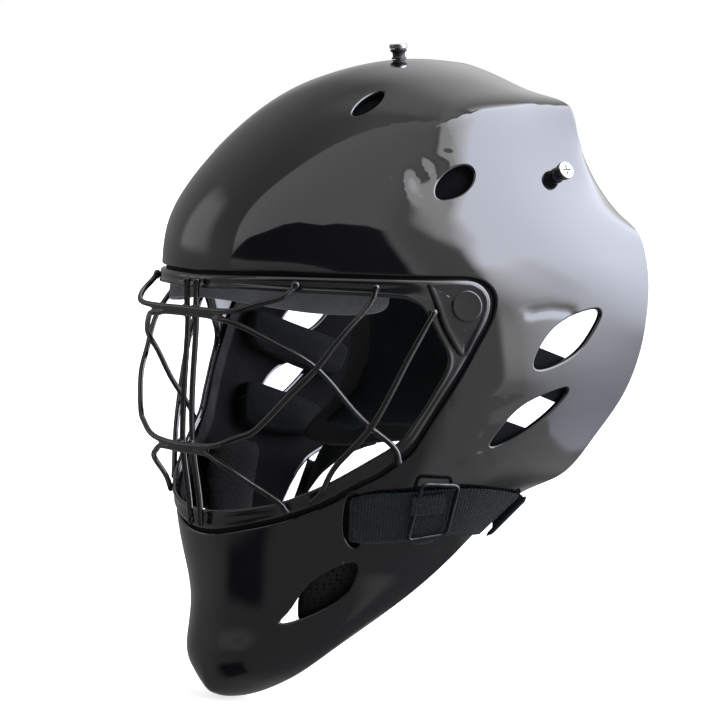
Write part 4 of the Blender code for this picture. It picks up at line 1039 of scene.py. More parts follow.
def turned_mesh(name, p, n, prof, mat, steps, node=None, body="mask"):
    """Turned piece about n at p; prof is (radius, height), outward from the axis and back to it or to a closed rim."""
    x, y, z = axes(n)
    V, Fc = [], []
    rows = []
    for r, h in prof:
        if r < 1e-6:
            rows.append([len(V)])
            V.append(p + z * h)
        else:
            rows.append(list(range(len(V), len(V) + steps)))
            V += [p + z * h + r * (math.cos(t) * x + math.sin(t) * y) for t in np.linspace(0, 2 * math.pi, steps, endpoint=False)]
    for a, b in zip(rows[:-1], rows[1:]):
        for k in range(steps):
            k2 = (k + 1) % steps
            if len(a) == 1:
                Fc.append((a[0], b[k], b[k2]))
            elif len(b) == 1:
                Fc.append((a[k2], a[k], b[0]))
            else:
                Fc.append((a[k], b[k], b[k2], a[k2]))
    ob = add_mesh(name, world(np.array(V)), Fc, mat, body)
    bm = bmesh.new(); bm.from_mesh(ob.data)
    bmesh.ops.remove_doubles(bm, verts=bm.verts, dist=1e-7)
    bmesh.ops.recalc_face_normals(bm, faces=bm.faces)
    bm.to_mesh(ob.data); bm.free()
    if node:
        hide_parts(node)
    return ob


for tag, sgn in (("left", 1), ("right", -1)):
    clip(tag, sgn)


# ---------------------------------------------------------------- screw studs
g = G("bright_zinc")
nb = g.bump(g.noise(500, 3, 0.6, vec=g.stretch(1, 1, 6)), 0.25, 0.0002)
g.set(Base_Color=g.ramp(g.noise(140, 4, 0.6), (0.35, (0.34, 0.34, 0.33)), (0.7, (0.50, 0.50, 0.48))), Metallic=1.0,
      Roughness=g.range(g.noise(200, 3), 0.3, 0.7, 0.18, 0.34), Normal=nb)
MAT["zinc"] = g.m

g = G("sleeve_rubber")
nb = g.bump(g.noise(900, 3, 0.6), 0.3, 0.0002)
g.set(Base_Color=g.ramp(g.noise(60, 3), (0.4, (0.006, 0.006, 0.007)), (0.75, (0.012, 0.012, 0.012))), Roughness=g.range(g.noise(150, 2), 0.3, 0.7, 0.38, 0.55), Normal=nb)
MAT["rubber"] = g.m


def screw_head(name, p, n, node, r=4.4, h=2.2):
    """Pan head with a cross recess, on its shank."""
    x, y, z = axes(n)
    steps = 64
    t = np.linspace(0, 2 * math.pi, steps, endpoint=False)
    # the cross: four arms in polar form
    arm, half = 2.3, 0.42
    rad = np.empty(steps)
    for k, a in enumerate(t):
        q = (a + math.pi / 4) % (math.pi / 2) - math.pi / 4
        c, s_ = abs(math.cos(q)), abs(math.sin(q)) + 1e-9
        rad[k] = min(arm / c, max(half / s_, half * 1.35))
        rad[k] = min(rad[k], arm)
    rings = []

    def ring(rr, hh):
        rings.append(p + z * hh + rr[:, None] * (np.cos(t)[:, None] * x + np.sin(t)[:, None] * y) if isinstance(rr, np.ndarray)
                     else p + z * hh + rr * (np.cos(t)[:, None] * x + np.sin(t)[:, None] * y))
    ring(1.7, -8.0 - 7.0)
    ring(1.7, -h)
    ring(r - 0.25, -h)
    ring(r, -h + 0.25)
    ring(r, -0.62)
    for a in (30, 60, 90):
        ring(r - 0.62 * (1 - math.cos(math.radians(a))), -0.62 + 0.62 * math.sin(math.radians(a)))
    ring(np.maximum(rad + 0.12, 0), 0.0)
    ring(rad, -0.10)
    ring(rad * 0.82, -0.95)
    ring(rad * 0.2, -1.25)
    R = np.array(rings)
    m = len(R)
    V = R.reshape(-1, 3)
    Fc = [(i * steps + j, i * steps + (j + 1) % steps, (i + 1) * steps + (j + 1) % steps, (i + 1) * steps + j) for i in range(m - 1) for j in range(steps)]
    Fc.append(tuple((m - 1) * steps + j for j in range(steps)))
    Fc.append(tuple(range(steps - 1, -1, -1)))
    ob = add_mesh(name, world(V), Fc, MAT["zinc"])
    bm = bmesh.new(); bm.from_mesh(ob.data)
    bmesh.ops.recalc_face_normals(bm, faces=bm.faces)
    for e in bm.edges:
        if len(e.link_faces) == 2 and e.calc_face_angle() > 0.7:
            e.smooth = False
    bm.to_mesh(ob.data); bm.free()
    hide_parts(node)
    return ob


STUDS = [("crown", np.array(CROWN_STUD), unit([0, -0.07, 1.0]))]
for tag, sgn in (("left", 1), ("right", -1)):
    p, n = on_surface(np.array(SIDE_STUD) * [sgn, 1, 1], 0)
    STUDS.append((tag, p, n))
for tag, p, n in STUDS:
    lift = 0.45
    top = lift + SLEEVE_H + GAP + CAP_H
    screw_head("screw_head_" + tag, p + n * top, n, "stud_screw_" + tag, CAP_R, CAP_H)
    turned_mesh("stud_bush_" + tag, p, n, [(1.75, 0.15), (SLEEVE_R + 0.5, 0.15), (SLEEVE_R + 0.65, 0.5), (SLEEVE_R + 0.45, 0.85), (SLEEVE_R + 0.02, 1.15),
                (SLEEVE_R - 0.1, 2.2), (SLEEVE_R + 0.05, 3.3), (SLEEVE_R + 0.7, 3.9), (SLEEVE_R + 1.0, 4.3), (SLEEVE_R + 0.95, 4.85), (SLEEVE_R + 0.6, 5.15), (1.75, 5.2)],
                MAT["rubber"], 40, "stud_sleeve_" + tag)
    nut = NODES["stud_nut_" + tag]
    nut.data.materials.clear()
    nut.data.materials.append(MAT["zinc"])


# ---------------------------------------------------------------- ledge the cage band sits in
g = G("ledge_matt_black")
g.set(Base_Color=g.ramp(g.noise(60, 3), (0.35, (0.0018, 0.0018, 0.002)), (0.75, (0.004, 0.004, 0.0045))), Roughness=g.range(g.noise(90, 2), 0.3, 0.7, 0.55, 0.75),
      Specular_IOR_Level=0.2, Normal=g.bump(g.noise(1400, 3, 0.6), 0.3, 0.0003))
MAT["ledge"] = g.m


def build_ledge():
    n = 420
    A = closed_curve(both(OPENING), n)
    B = closed_curve(both(BAND_OUT), n)
    k = np.argmin(np.sum((B[None] - A[0]) ** 2, -1))
    B = np.roll(B, -int(k), 0)
    ua, va = find_uv(A)
    ub, vb = find_uv(B)
    PA, NA = F(ua, va), NF(ua, va)
    PB, NB = F(ub, vb), NF(ub, vb)
    prof = [(-0.45, -2.2), (0.2, -2.2), (1.0, -2.25), (2.6, -2.25), (2.75, -2.4), (2.75, -3.3), (2.6, -3.45), (1.0, -3.5), (0.2, -3.6), (-0.45, -3.6)]
    rings = [PA + (PB - PA) * s + unit(NA + NB) * h for s, h in prof]
    V = np.concatenate(rings)
    m = len(rings)
    faces = []
    for r in range(m):
        r2 = (r + 1) % m
        for i in range(n):
            j = (i + 1) % n
            faces.append((r * n + i, r * n + j, r2 * n + j, r2 * n + i))
    ob = add_mesh("opening_ledge", world(V), faces, MAT["ledge"])
    bm = bmesh.new(); bm.from_mesh(ob.data); bmesh.ops.recalc_face_normals(bm, faces=bm.faces); bm.to_mesh(ob.data); bm.free()


build_ledge()

# ---------------------------------------------------------------- soft materials
g = G("webbing_elastic_weave")
uvs = g.split(g.uv())
x = g.math('MULTIPLY', uvs[0], 100.0)               # mm along
y = g.math('MULTIPLY', uvs[1], 100.0)               # mm across
row = g.math('DIVIDE', x, 1.5)
odd = g.math('MODULO', g.math('FLOOR', row), 2.0)
rib = g.math('POWER', g.math('ABSOLUTE', g.math('SINE', g.math('MULTIPLY', row, math.pi))), 0.6)
pick = g.math('MULTIPLY_ADD', g.math('SINE', g.math('MULTIPLY', g.math('ADD', g.math('DIVIDE', y, 1.15), g.math('MULTIPLY', odd, 0.5)), 2 * math.pi)), 0.5, 0.5)
thread = g.math('MULTIPLY', rib, g.math('MULTIPLY_ADD', pick, 0.6, 0.4))
fleck = g.math('GREATER_THAN', g.noise(850, 2, 0.7), 0.60)
fuzz = g.noise(2200, 2, 0.6)
tone = g.noise(45, 3)
# painted shade: the weave colour darkens between the ribs and picks, following the thread pattern that also drives the
# bump
base = g.mix(g.math('MULTIPLY', thread, 0.85), (0.0022, 0.0028, 0.0028), (0.0095, 0.0125, 0.0125))
base = g.mix(g.math('MULTIPLY', fleck, g.math('MULTIPLY', thread, 0.55)), base, (0.030, 0.038, 0.039))
base = g.mix(g.range(tone, 0.3, 0.7, 0.0, 0.35), base, (0.006, 0.008, 0.008))
g.set(Base_Color=base, Roughness=0.88, Specular_IOR_Level=0.10, Sheen_Weight=0.04, Sheen_Roughness=0.5,
      Normal=g.bump(g.math('MULTIPLY_ADD', fuzz, 0.25, thread), 0.75, 0.0005))
MAT["web"] = g.m


def foam(name, dark, light, pore=620, depth=0.5, rough=0.95, sheen=0.0, spec=0.05):
    g = G(name)
    v = g.voronoi(pore)
    n = g.noise(pore * 2.2, 3, 0.6)
    h = g.math('ADD', g.math('MULTIPLY', v, 0.8), g.math('MULTIPLY', n, 0.5))
    c = g.ramp(g.noise(28, 4, 0.6), (0.30, dark), (0.75, light))
    # painted shade: the pits at the pore centres, where the bump dips, are mixed 60% towards a third of the dark tone
    c = g.mix(g.math('MULTIPLY', g.math('LESS_THAN', v, 0.16), 0.6), c, tuple(0.35 * q for q in dark))
    g.set(Base_Color=c, Roughness=rough, Specular_IOR_Level=spec, Sheen_Weight=sheen, Normal=g.bump(h, depth, 0.0006))
    return g.m


MAT["foam"] = foam("liner_foam_grey", (0.0045, 0.0047, 0.005), (0.010, 0.0105, 0.0115))
MAT["foam_dark"] = foam("liner_foam_black", (0.0025, 0.0026, 0.003), (0.006, 0.0063, 0.0067))
MAT["felt"] = foam("brow_felt_grey", (0.034, 0.035, 0.036), (0.072, 0.075, 0.077), 1500, 0.8, 1.0, 0.15, 0.05)
MAT["pad_cloth"] = foam("pad_cloth_dark", (0.0028, 0.0040, 0.0042), (0.006, 0.0085, 0.009), 1700, 0.45, 0.9, 0.03, 0.06)
MAT["chin"] = foam("chin_cup_soft_teal", (0.010, 0.017, 0.018), (0.018, 0.028, 0.030), 1800, 0.25, 0.65, 0.0, 0.4)

g = G("liner_mesh_fabric")
s1 = g.stretch(1, 1, 1)
cell = g.voronoi(430, s1, 'F1', 0.25)
hole = g.math('LESS_THAN', cell, 0.30)
knit = g.noise(1800, 2, 0.5)
# painted shade: the mesh holes, where the bump dips, are coloured near black (0.0008) against the lighter threads
g.set(Base_Color=g.mix(hole, (0.007, 0.007, 0.0076), (0.0008, 0.0008, 0.0009)), Roughness=0.8, Specular_IOR_Level=0.12,
      Normal=g.bump(g.math('ADD', g.math('MULTIPLY', cell, 1.0), g.math('MULTIPLY', knit, 0.2)), 0.7, 0.0006))
MAT["mesh"] = g.m

g = G("plate_moulded_plastic")
g.set(Base_Color=g.ramp(g.noise(35, 3), (0.3, (0.006, 0.006, 0.0065)), (0.75, (0.011, 0.011, 0.012))), Roughness=g.range(g.noise(70, 3), 0.3, 0.7, 0.34, 0.48),
      Normal=g.bump(g.noise(1300, 3, 0.6), 0.35, 0.0003))
MAT["plate"] = g.m

g = G("buckle_dark_steel")
nb = g.bump(g.math('ADD', g.noise(900, 3, 0.6), g.math('MULTIPLY', g.noise(120, 2), 0.5)), 0.15, 0.0003)
g.set(Base_Color=g.ramp(g.noise(160, 3), (0.35, (0.045, 0.048, 0.052)), (0.7, (0.085, 0.09, 0.095))), Metallic=1.0, Roughness=g.range(g.noise(300, 3), 0.3, 0.7, 0.22, 0.38), Normal=nb)
MAT["buckle"] = g.m


# ---------------------------------------------------------------- webbing
def ribbon(name, C, D, W, mat, thick, across=26, scallop=0.22, period=1.5, lift=None, low_extra=None, body="mask", node=None, edge_round=0.9):
    """Woven strap: centre points C, width directions D, widths W. lift(s, q) raises the face; low_extra(s) widens the lower edge."""
    C, D, W = np.asarray(C, float), unit(D), np.asarray(W, float)
    T = unit(np.gradient(C, axis=0))
    N = unit(np.cross(T, D))
    out = np.sum(N * (C - MIDDLE), 1).sum()
    if out < 0:
        N = -N
    s = np.concatenate([[0], np.cumsum(np.linalg.norm(np.diff(C, axis=0), axis=1))])
    n = len(C)
    wob = scallop * (0.5 + 0.5 * np.cos(2 * math.pi * s / period)) + 0.05 * np.sin(s * 0.9)
    prof = []
    for q in np.linspace(-1, 1, across):
        prof.append((q, 1.0))
    for q in np.linspace(1, -1, across):
        prof.append((q, -1.0))
    rings = []
    hx = thick / 2
    for q, side in prof:
        e = 1 - abs(q)
        r = np.sqrt(np.clip(1 - (1 - np.clip(e * (W / 2)[:, None] / (hx * edge_round), 0, 1)) ** 2, 0, 1))[:, 0]
        half = W / 2 - wob
        low = np.zeros(n) if low_extra is None or q < 0 else low_extra(s) * max(0.0, q) ** 2
        up = np.zeros(n) if lift is None else lift(s, q) * (1.0 if side > 0 else 0.35)
        rings.append(C + D * (half * q + low)[:, None] + N * (side * hx * (0.12 + 0.88 * r) + up)[:, None])
    V = np.stack(rings, 1)                            # n, m, 3
    m = V.shape[1]
    faces, uv = [], []
    qs = np.concatenate([np.linspace(-1, 1, across), np.linspace(1, -1, across)])
    for i in range(n - 1):
        for j in range(m):
            j2 = (j + 1) % m
            faces.append((i * m + j, i * m + j2, (i + 1) * m + j2, (i + 1) * m + j))
            w = W[i] / 2
            uv.append([(s[i] / 100, qs[j] * w / 100), (s[i] / 100, qs[j2] * w / 100), (s[i + 1] / 100, qs[j2] * w / 100), (s[i + 1] / 100, qs[j] * w / 100)])
    h = across
    for i in (0, n - 1):
        for j in range(h - 1):
            a, b, c, d = i * m + j, i * m + j + 1, i * m + (m - 2 - j), i * m + (m - 1 - j)
            faces.append((a, b, c, d))
            uv.append([(s[i] / 100, qs[j] / 10)] * 4)
    ob = add_mesh(name, world(V.reshape(-1, 3)), faces, mat, body=None)
    lay = ob.data.uv_layers.new(name="UVMap")
    flat = np.array([p for f in uv for p in f], np.float32)
    if len(lay.data) == len(flat):
        lay.data.foreach_set("uv", flat.ravel())
    bm = bmesh.new(); bm.from_mesh(ob.data); bmesh.ops.recalc_face_normals(bm, faces=bm.faces); bm.to_mesh(ob.data); bm.free()
    if body:
        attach(ob, body)
    if node:
        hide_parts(node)
    return ob, s


def stations(L, count):
    C = np.array([on_surface(s[0][:3], s[0][3])[0] if len(s[0]) == 4 else s[0] for s in L], float)
    D = np.array([unit(s[1]) for s in L])
    W = np.array([s[2] for s in L], float)
    t = np.linspace(0, len(C) - 1, 60 * len(C))
    c = spline(C, t)
    s = np.concatenate([[0], np.cumsum(np.linalg.norm(np.diff(c, axis=0), axis=1))])
    w = np.interp(np.linspace(0, s[-1], count), s, t)
    return spline(C, w), unit(spline(D, w)), spline(W, w)


BUCKLE_AT = {}
for tag, sgn in (("left", 1), ("right", -1)):
    sg = np.array([sgn, 1, 1.0])
    C, D, W = stations(LOWER_OUT, 240)
    cs = np.concatenate([[0], np.cumsum(np.linalg.norm(np.diff(C, axis=0), axis=1))])
    mid = cs[np.argmin(np.abs(C[:, 1] - 69.5))]
    BUCKLE_AT[tag] = mid

    def lift(s, q, mid=mid):
        near = np.exp(-((s - mid) / 9.0) ** 2)
        wr = np.sin((s - mid) * 1.25 + 1.6 * q) * 0.5 + np.sin((s - mid) * 2.3 - 2.1 * q + 1.0) * 0.28
        return near * (0.08 + 0.14 * wr) + 0.04 * np.sin(s * 0.35 + 2 * q)

    def low(s, mid=mid):
        return 3.4 * np.exp(-(np.abs((s - mid + 1.5) / 7.0)) ** 3.0)

    ribbon("lower_strap_webbing_" + tag, C * sg, D * sg, W, MAT["web"], 2.1, lift=lift, low_extra=low, node="lower_strap_" + tag)
    # the loose end, folded back over the strap through the buckle
    k = (cs > mid - 11.0) & (cs < mid + 4.5)
    _, nn = zip(*[on_surface(p, 0) for p in C[k]])
    nn = np.array(nn)
    t = (cs[k] - cs[k][0]) / (cs[k][-1] - cs[k][0])
    hgt = 3.0 + 0.25 * np.sin(np.pi * np.clip(t, 0, 1)) ** 0.8
    ribbon("strap_tail_" + tag, (C[k] + nn * hgt[:, None] - D[k] * 7.2) * sg, D[k] * sg, np.full(k.sum(), 10.4), MAT["web"], 1.7, across=16, body="buckle_" + tag)
    # three-bar slide, bent from wire: only its outer loop is built
    pts = [np.array(q) * sg for q in BUCKLE]
    loop = []
    for i in range(4):
        a, b, c = pts[i - 1], pts[i], pts[(i + 1) % 4]
        da, dc = unit(a - b), unit(c - b)
        for q in np.linspace(0, 1, 9):
            loop.append(b + da * 3.0 * (1 - q) ** 2 + dc * 3.0 * q ** 2)
    L = resample(np.array(loop), 150, True)
    n = len(L)
    Tn = unit(np.roll(L, -1, 0) - np.roll(L, 1, 0))
    face = unit(np.cross(pts[1] - pts[0], pts[2] - pts[1]))
    B = unit(np.cross(Tn, face))
    ring = []
    for a in np.linspace(0, 2 * math.pi, 12, endpoint=False):
        ring.append(L + (B * math.cos(a) * 1.0 + face * math.sin(a) * 0.95))
    V = np.stack(ring, 1)
    m = 12
    faces = [(i * m + j, i * m + (j + 1) % m, ((i + 1) % n) * m + (j + 1) % m, ((i + 1) % n) * m + j) for i in range(n) for j in range(m)]
    ob = add_mesh("buckle_loop_" + tag, world(V.reshape(-1, 3)), faces, MAT["buckle"], body="buckle_" + tag)
    bm = bmesh.new(); bm.from_mesh(ob.data); bmesh.ops.recalc_face_normals(bm, faces=bm.faces); bm.to_mesh(ob.data); bm.free()
    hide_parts("buckle_" + tag)

Y_PLATE = 151.0
for tag, sgn in (("left", 1), ("right", -1)):
    sg = np.array([sgn, 1, 1.0])
    C, D, W = stations(LOWER_IN, 150)
    ob, _ = ribbon("rear_strap_webbing_" + tag, C * sg, D * sg, W, MAT["web"], 1.9, across=16, body=None, node="rear_strap_" + tag)
    tuple(world(C[18] * sg))
    tuple(world(C[-18] * sg))
    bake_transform(ob)
    C, D, W = stations(SIDE_IN, 90)
    ob, _ = ribbon("side_strap_webbing_" + tag, C * sg, D * sg, W, MAT["web"], 1.9, across=16, body=None, node="side_strap_" + tag)
    tuple(world(C[8] * sg))
    tuple(world(C[-12] * sg))
    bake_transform(ob)
C, D, W = stations(CROWN_IN, 150)
ob, _ = ribbon("crown_strap_webbing", C, D, W, MAT["web"], 1.9, across=20, body=None, node="crown_strap")
tuple(world(C[18]))
tuple(world(C[-24]))
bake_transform(ob)


# ---------------------------------------------------------------- liner
def slab(name, place, half, thick, mat, k=4.5, edge=2.2, crown=0.28, rings=13, around=132, back=0.6, body="mask", node=None, slot="liner_foam"):
    """Soft slab over a rounded-square domain. place(a, b, h) gives the point at (a, b) in -1..1 and height h over the back face."""
    t = np.linspace(0, 2 * math.pi, around, endpoint=False)
    c, s = np.cos(t), np.sin(t)
    r = (np.abs(c) ** k + np.abs(s) ** k) ** (-1.0 / k)
    bx, by = r * c, r * s
    ex, ey = edge / half[0], edge / half[1]
    prof = []
    for q in np.linspace(0, 1, rings):
        prof.append((q, 0.0, thick * (1 - crown * q ** 3)))
    top = thick * (1 - crown)
    e = min(edge, top * 0.55)
    for a in np.linspace(0, math.pi / 2, 6)[1:]:
        prof.append((1.0, math.sin(a), top - e * (1 - math.cos(a))))
    for a in np.linspace(0, math.pi / 2, 4):
        prof.append((1.0, 1 - (back / edge) * (1 - math.cos(a)), back * (1 - math.sin(a))))
    for q in np.linspace(1, 0, 7)[1:]:
        prof.append((q, (1 - back / edge) * q ** 6, 0.0))
    rows = []
    for q, grow, h in prof:
        fx = (1 - ex) * q + ex * grow
        fy = (1 - ey) * q + ey * grow
        rows.append(place(bx * fx, by * fy, np.full(around, h)))
    V = [rows[0].mean(0)[None]] + rows[1:-1] + [rows[-1].mean(0)[None]]
    faces = []
    o = 1
    for i in range(around):
        faces.append((0, o + i, o + (i + 1) % around))
    nr = len(rows) - 2
    for p in range(nr - 1):
        a0, b0 = o + p * around, o + (p + 1) * around
        for i in range(around):
            j = (i + 1) % around
            faces.append((a0 + i, b0 + i, b0 + j, a0 + j))
    last = o + (nr - 1) * around
    end = o + nr * around
    for i in range(around):
        faces.append((last + i, end, last + (i + 1) % around))
    ob = add_mesh(name, world(np.concatenate(V)), faces, mat, body=None)
    bm = bmesh.new(); bm.from_mesh(ob.data); bmesh.ops.recalc_face_normals(bm, faces=bm.faces); bm.to_mesh(ob.data); bm.free()
    return ob


def on_shell(spec, sgn, bow=1.0):
    u0, u1, v0, v1, nr, nc, inset, thick = spec
    v0 = v0 if isinstance(v0, tuple) else (v0, v0)
    v1 = v1 if isinstance(v1, tuple) else (v1, v1)

    def place(a, b, h):
        s = (a + 1) / 2
        u = (u0 + s * (u1 - u0)) / NU
        lo = v0[0] + s ** bow * (v0[1] - v0[0])
        hi = v1[0] + s * (v1[1] - v1[0])
        v = (lo + hi) / 2 + b * (hi - lo) / 2
        P = F(u, v) - NF(u, v) * (inset + h)[:, None]
        return P * [sgn, 1, 1]
    um = (u0 + u1) / 2 / NU
    lo, hi = sum(v0) / 2, sum(v1) / 2
    A = S(np.array([u0 / NU, u1 / NU]), np.array([(lo + hi) / 2] * 2))
    B = S(np.array([um] * 9), np.linspace(lo, hi, 9))
    half = (np.linalg.norm(A[1] - A[0]) / 2, np.linalg.norm(np.diff(B, axis=0), axis=1).sum() / 2)
    return place, half, thick


def swell(ob, voxel, pressure, cap, keep=0.55):
    """Fills the piece with cloth under pressure and keeps how far each point moved under cap (m)."""
    rm = ob.modifiers.new("remesh", 'REMESH')
    rm.mode, rm.voxel_size, rm.use_smooth_shade = 'VOXEL', voxel, True
    apply_mods(ob)
    sc = bpy.context.scene
    start = np.empty(len(ob.data.vertices) * 3, np.float32)
    ob.data.vertices.foreach_get("co", start)
    cl = ob.modifiers.new("cloth", 'CLOTH')
    st = cl.settings
    st.quality = 6
    st.mass = 0.25
    st.tension_stiffness = st.compression_stiffness = 18
    st.shear_stiffness = 8
    st.bending_stiffness = 1.2
    st.use_pressure = True
    st.uniform_pressure_force = pressure
    st.effector_weights.gravity = 0
    cl.collision_settings.use_collision = False
    cl.point_cache.frame_start, cl.point_cache.frame_end = 1, 20
    for f in range(1, 21):
        sc.frame_set(f)
    dg = bpy.context.evaluated_depsgraph_get()
    ev = ob.evaluated_get(dg).data
    moved = np.empty(len(ev.vertices) * 3, np.float32)
    ev.vertices.foreach_get("co", moved)
    ob.modifiers.remove(cl)
    sc.frame_set(1)
    if len(moved) == len(start):
        a, b = start.reshape(-1, 3).astype(float), moved.reshape(-1, 3).astype(float)
        d = b - a
        d -= np.median(d, 0)
        ln = np.linalg.norm(d, axis=1, keepdims=True)
        d *= np.minimum(1.0, cap / (ln + 1e-9))
        ob.data.vertices.foreach_set("co", (a + d).astype(np.float32).ravel())
        ob.data.update()
    sm = ob.modifiers.new("smooth", 'CORRECTIVE_SMOOTH')
    sm.factor, sm.iterations, sm.use_only_smooth = 0.5, 4, True
    sb = ob.modifiers.new("fine", 'SUBSURF')
    sb.levels = sb.render_levels = 1
    apply_mods(ob)
    for p in ob.data.polygons:
        p.use_smooth = True


PADS = {
    "forehead_pad": ((1.76, 4.09, -0.44, 0.44, 7, 12, 3.9, 10.0), "foam_dark"),
    "sweatband": ((5.00, 6.40, -0.575, 0.575, 4, 16, 3.9, 6.5), "felt"),
    "crown_pad_left": ((0.29, 1.53, 0.13, 0.52, 5, 5, 3.9, 9.0), "foam_dark"),
    "temple_pad_left": ((2.15, 4.36, 0.50, 0.72, 6, 5, 4.5, 9.0), "foam_dark"),
    "ear_pad_left": ((5.74, 6.68, 0.745, 0.945, 3, 7, 3.9, 9.0), "foam"),
    "rear_pad_left": ((7.34, 8.16, 0.73, 0.93, 4, 6, 3.9, 9.0), "foam"),
    "jaw_pad_left": ((8.40, 11.24, (0.66, 0.432), (0.83, 0.76), 8, 8, 9.0, 8.5), "mesh"),
    "chin_cup": ((10.40, 11.77, -0.40, 0.40, 5, 9, 4.6, 10.0), "chin"),
}
for name, (spec, mat) in PADS.items():
    for side in ((1, -1) if name.endswith("_left") else (1,)):
        node = name if side == 1 else name[:-4] + "right"
        place, half, thick = on_shell(spec, side, 0.25 if name == "jaw_pad_left" else 1.0)
        cloth = mat in ("mesh", "chin")
        if cloth:
            ob = slab(node + "_cover", place, half, thick * 0.92, MAT[mat], k=4.0, edge=2.4, crown=0.30)
            swell(ob, 0.0036, 4.0, 0.0016)
        else:
            ob = slab(node + "_foam", place, half, thick, MAT[mat], edge=2.2 if thick > 7 else 1.6)
        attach(ob, "mask")
        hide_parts(node)
        {"felt": "brow_felt", "mesh": "liner_mesh", "chin": "chin_soft"}.get(mat, "liner_foam")

def plate_at(margin, back, sign):
    """Points of the wrapped back plate: h runs forward from `back` behind (+) or in front (-) of its front face."""
    W_ = np.array(PLATE_W, float)

    def place(a, b, h):
        t = (b + 1) / 2
        w = spline(W_, np.clip(t, 0, 1) * (len(W_) - 1)) - margin
        x = a * w
        lo = PLATE_LOW + margin - PLATE_DROP * a ** 4
        hi = PLATE_TOP - margin - 8.0 * a ** 4
        n = unit(np.stack([2 * PLATE_BOW * x / 76.0 ** 2, np.ones_like(x), np.zeros_like(x)], 1))
        return np.stack([x, PLATE_Y - PLATE_BOW * (x / 76.0) ** 2, lo + (hi - lo) * t], 1) + n * (back - h)[:, None]
    return place


PH = (PLATE_TOP - PLATE_LOW) / 2
ob = slab("back_plate_shell", plate_at(0.0, 2.5, 1), (62.0, PH), 2.5, MAT["plate"], k=6, edge=1.2, crown=0.0, back=0.5, around=180, rings=17)
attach(ob, "rear_harness"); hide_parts("back_plate")
ob = slab("back_pad_cover", plate_at(4.5, -1.3, 1), (58.0, PH - 5), 7.6, MAT["pad_cloth"], k=5, edge=2.6, crown=0.22, around=180, rings=17)
swell(ob, 0.0040, 4.0, 0.0016)
co = np.empty(len(ob.data.vertices) * 3, np.float32)
ob.data.vertices.foreach_get("co", co)
co = co.reshape(-1, 3)
lim = (PLATE_Y - 0.45 - PLATE_BOW * (co[:, 0] / MM / 76.0) ** 2 - HEAD[1]) * MM
co[:, 1] = np.minimum(co[:, 1], lim)
ob.data.vertices.foreach_set("co", co.ravel())
ob.data.update()
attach(ob, "rear_harness"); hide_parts("back_pad")


